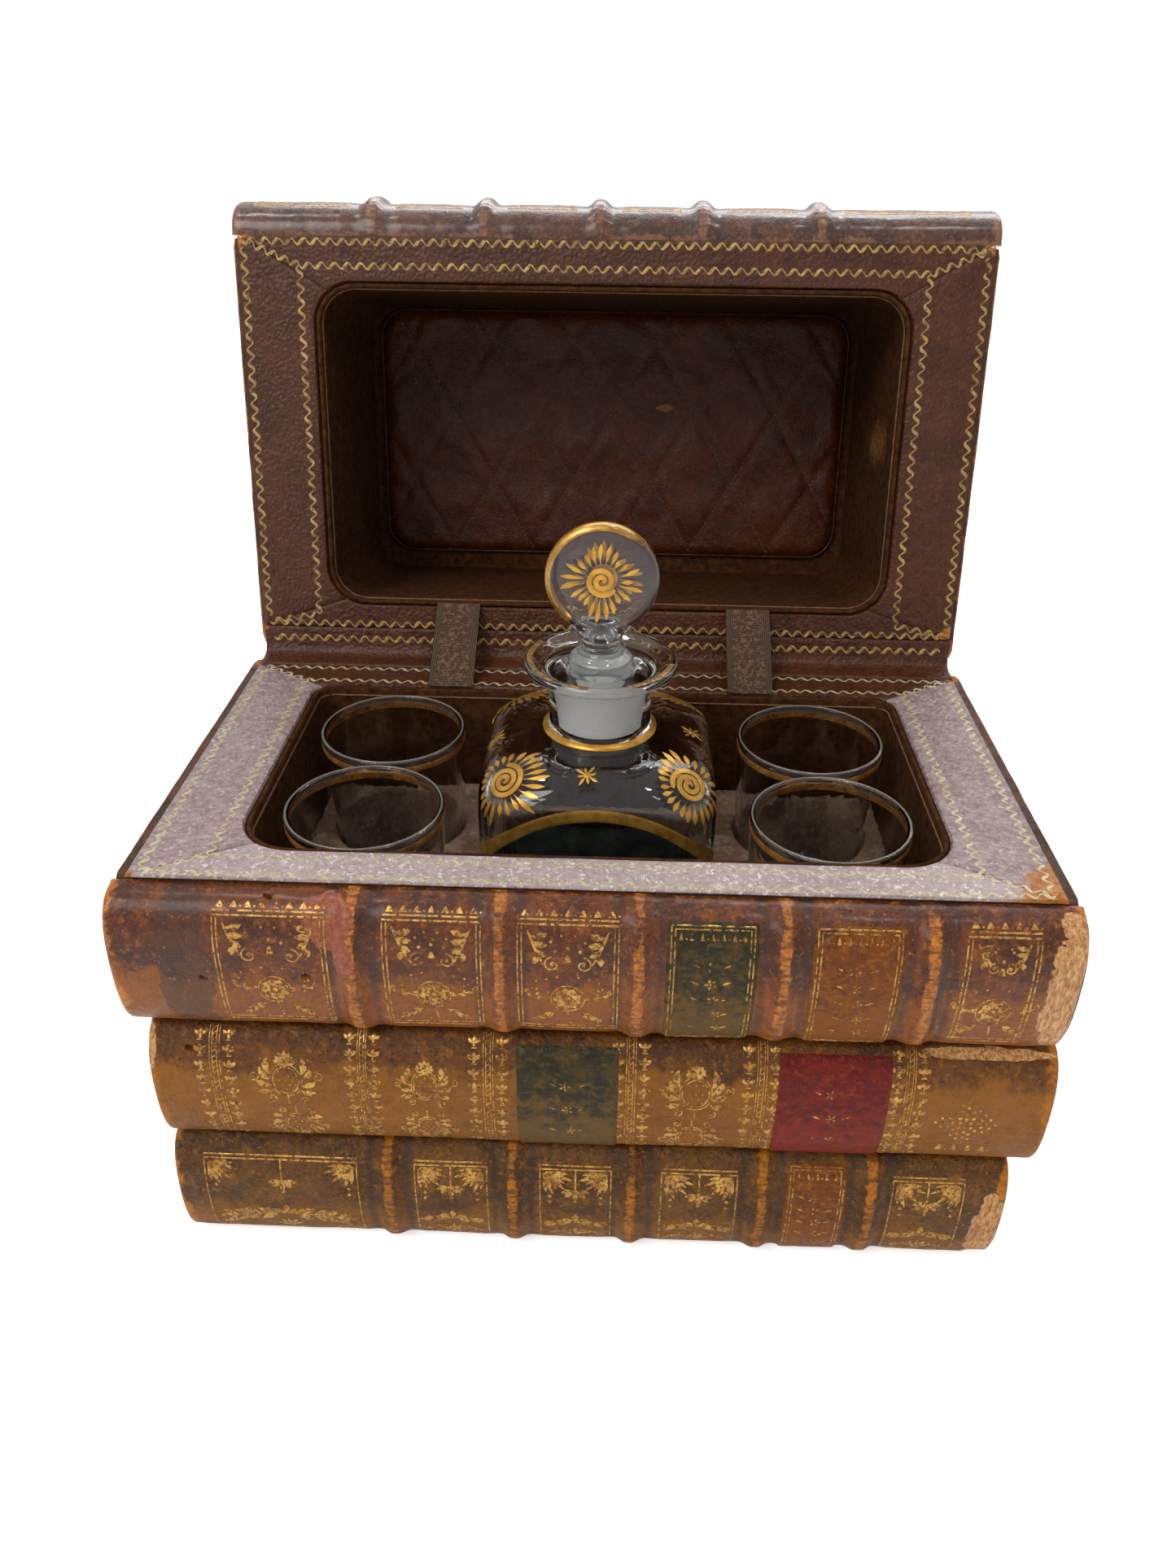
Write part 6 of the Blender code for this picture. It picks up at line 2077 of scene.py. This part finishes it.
PANELS = {
    "volume_1": (
        (fan_panel, (-0.1075, -0.0645), (-0.0483, -0.0281), (-0.0132, 0.0066), (0.0206, 0.0416), (0.0845, 0.1040)),
    ),
    "volume_2": (
        (roll_band, (-0.0978, 0.0044), (-0.0592, 0.0036), (-0.0262, 0.0042), (0.0110, 0.0040), (0.0448, 0.0040)),
        (roll_band, (0.0830, 0.0038)),
        (fleuron, (-0.0795, 0.0062, 0.0086), (-0.0780, -0.0108, 0.0078, -1.0), (-0.0428, 0.0058, 0.0076)),
        (fleuron, (-0.0428, -0.0100, 0.0070, -1.0), (0.0280, 0.0060, 0.0088), (0.0275, -0.0112, 0.0080, -1.0)),
        (lozenge, (0.0990, -0.0012, 0.0078)),
        (scallops, (0.0920, 0.1070, -0.0130, 0.0036, 0.0030)),
        (fleuron, (0.0640, -0.0152, 0.0052, -1.0)),
    ),
    "volume_3": ((flower_panel, (-0.0915, -0.0642), (-0.0503, -0.0265), (-0.0176, 0.0069), (0.0897, 0.1070)),),
    "volume_4": (
        (flower_panel, (-0.1110, -0.0815), (-0.0670, -0.0465), (-0.0325, -0.0115)),
        (flower_panel, (0.0025, 0.0205), (0.0345, 0.0555), (0.0700, 0.1080)),
    ),
    "volume_5": (
        (fan_panel, (-0.1110, -0.0710), (-0.0570, -0.0385), (-0.0245, -0.0065)),
        (fan_panel, (0.0075, 0.0260), (0.0400, 0.0580), (0.0720, 0.1080)),
    ),
}
# Labels: node, finish, how much of the upper left corner is cut away, whether rules go round it
LABELS = {
    "volume_1": (("volume_1_label", "tan_label", 0.0, True),),
    "volume_2": (
        ("volume_2_green_label", "green_label", 0.0, False),
        ("volume_2_red_label", "red_label", 0.0, False),
    ),
    "volume_3": (
        ("volume_3_green_label", "green_label", 0.0, True),
        ("volume_3_tan_label", "tan_label", 0.0050, True),
    ),
}
CASE_RUBS = ((0.1180, -0.0660, 0.0230), (-0.1150, -0.0635, 0.0035), (0.1150, 0.0565, 0.0035))
# Share of dust and painted sheen on each strip of the base's frame; the lid's frames get none
CASE_DUST_AND_SHEEN = {"front": 1.42, "back": 0.25, "left": 1.0, "right": 0.9}
LID_RUBS = ((0.1150, -0.1290, 0.0050), (-0.1150, -0.1290, 0.0050), (0.1150, -0.0090, 0.0060))
LINER_RUBS = ((0.0912, -0.0700, 0.0280, 0.0120, 0.0220),)


def frame_lines(outer_x, inner_x, front, inner_front, inner_back, back, inner_line=True):
    """Two rectangles of line work and a line along each mitre, with right and left alike."""
    lines = [((-outer_x, front), (outer_x, front)), ((-inner_x, inner_front), (inner_x, inner_front))]
    if inner_line:
        lines.append(((-inner_x, inner_back), (inner_x, inner_back)))
    lines.append(((-outer_x, back), (outer_x, back)))
    for side in (-1, 1):
        lines.append(((side * outer_x, front + 0.002), (side * outer_x, back - 0.002)))
        lines.append(((side * inner_x, inner_front), (side * inner_x, inner_back)))
        lines.append(((side * outer_x, front), (side * inner_x, inner_front)))
        lines.append(((side * outer_x, back), (side * inner_x, inner_back)))
    return lines


CASE_LINES = frame_lines(0.1118, 0.0965, -0.0620, -0.0546, 0.0452, 0.0542)
LID_LINES = frame_lines(0.1132, 0.0962, -0.1274, -0.1206, -0.0132, -0.0100, False)


# The whole model

main_camera()
studio()

RIM_FINISH = rim_leather()
SUEDE = suede()
BOARDS = board_leather()
SPINE_GOLD = gilt("spine_gold", (222, 174, 92), (166, 114, 54), (92, 56, 32), 0.40, 0.54)
RIM_GOLD = gilt("rim_gold", (194, 162, 98), (140, 112, 70), (84, 54, 40), 0.36, 0.50, 0.30, 0.5)
PALE_GOLD = gilt("pale_gold", (206, 194, 152), (176, 162, 124), (140, 118, 108), 0.34, 0.50, 0.20, 0.5)
GLASS_GOLD = gilt("glass_gold", (226, 172, 78), (190, 136, 52), (120, 84, 34), 0.16, 0.24, 0.7, 0.3)
OLD_GOLD = gilt("old_gold", (168, 126, 54), (128, 92, 34), (70, 50, 24), 0.20, 0.32, 0.5, 0.42)
WORN_GOLD = gilt("worn_gold", (206, 156, 70), (150, 108, 52), (96, 84, 66), 0.44, 0.56, 0.5, 0.34)
CUP_GOLD = gilt("cup_gold", (196, 134, 66), (142, 92, 46), (74, 48, 30), 0.34, 0.48, 0.4, 0.34)
CLEAR = glass("clear_glass")
FROSTED = glass("ground_glass", 0.7, (0.96, 0.96, 0.93, 1.0), 0.0012, 0.0003, 0.12)
RIM_HIGHLIGHT = glass("painted_rim_highlight", 0.12, (0.70, 0.62, 0.53, 1.0), 0.004, 0.0001, 0.78)
PIPING = thread("piping_cord", (84, 56, 38), (134, 98, 70))
CORDS = thread("endband_cord", (78, 48, 30), (150, 104, 66))
STITCH = thread("quilt_thread", (58, 44, 38), (112, 92, 78))
CALVES = (
    ("purple_calf", (54, 29, 19), (92, 55, 38), (130, 96, 76), (96, 58, 40), (136, 90, 62), (0.24, 0.45), 0.65),
    ("brown_calf", (66, 32, 16), (108, 56, 28), (152, 92, 50), (148, 90, 40), (212, 142, 88), (0.26, 0.50), 0.25),
    ("tan_calf", (72, 42, 20), (104, 66, 34), (148, 98, 50), (156, 99, 44), (190, 118, 58)),
    ("dark_calf", (66, 42, 20), (104, 70, 34), (144, 98, 50), (126, 82, 36), (204, 128, 66)),
)
SPINE_FINISHES = {row[0]: spine_leather(*row) for row in CALVES}
LABEL_TONES = (
    ("green_label", (40, 36, 17), (96, 78, 40), (112, 84, 44)),
    ("red_label", (92, 22, 20), (146, 60, 42), (130, 48, 34)),
    ("tan_label", (108, 60, 30), (158, 102, 54), (136, 84, 44)),
)
LABEL_FINISHES = {row[0]: label_leather(*row) for row in LABEL_TONES}
PAGES = page_edges()

case = Opening("case", BASE, "case_liner", CASE_CORNER_RADII, "base", 1)
lid = Opening("lid", LID, "lid_liner", LID_CORNER_RADII, "lid", -1)

for name, in_lid, slot, cut_boards, pocket, low_place in VOLUMES:
    place = LID if in_lid else BASE
    body, opening = ("lid", lid) if in_lid else ("case", case)
    book = Book(name, body, place, BAND_SHARES.get(name, ()), SPOTS.get(name, ()), low_place)
    spine(book, SPINE_FINISHES["purple_calf" if in_lid else slot])
    for side in ("lower", "upper"):
        hole = opening if side in cut_boards else None
        slab(f"{name}_{side}_cover", book, f"{name}_{side}_board", hole, BOARDS)
    leaves(book, opening, pocket, PAGES)
    for side in ("left", "right"):
        endband(book, side, CORDS)
    work = Tooling(book.at, FOIL_LIFT, SPINE_WEIGHT)
    for kind, *places in PANELS[name]:
        for values in places:
            kind(work, *values)
    work.build(f"{name}_gilding", SPINE_GOLD, body)
    for node, label_slot, clipped, ruled in LABELS.get(name, ()):
        label(book, node, LABEL_FINISHES[label_slot], clipped)
        low, high = extent(node, place)
        work = Tooling(lambda x, s, lift, book=book: book.at(x, s, lift + LABEL_LIFT))
        label_ornament(work, low.x, high.x, book.arc_of(high.z), book.arc_of(low.z), ruled)
        work.build(f"{node}_gilding", SPINE_GOLD, body)

for side in ("front", "back", "left", "right"):
    rim_strip(case, side, RIM_FINISH, CASE_RUBS, CASE_DUST_AND_SHEEN[side])
    rim_strip(lid, side, RIM_FINISH, LID_RUBS, 0.0)
rim_lines(case, CASE_LINES, PALE_GOLD)
rim_lines(lid, LID_LINES, RIM_GOLD)
work = Tooling(lambda x, y, lift: Vector((x, y, 0.0001 - lift)))
work.wave((-0.1120, -0.0048), (0.1120, -0.0048))
work.build("hinge_wave_line", RIM_GOLD, "lid")
lining(case, "case_liner", SUEDE)
lining(lid, "lid_liner", SUEDE, LINER_RUBS)
piping(case, "case_piping", PIPING)
piping(lid, "lid_piping", PIPING)
insert(case, insert_leather())
for name in TUMBLERS:
    tumbler(name, CLEAR, CUP_GOLD)
decanter(CLEAR, FROSTED, GLASS_GOLD, enamel())
stopper(CLEAR, FROSTED, GLASS_GOLD)
quilt(quilt_leather(), STITCH)
WEAVE = ribbon_weave()
for name in ("ribbon_stay_left", "ribbon_stay_right"):
    ribbon(name, WEAVE)
fold(RIM_FINISH)
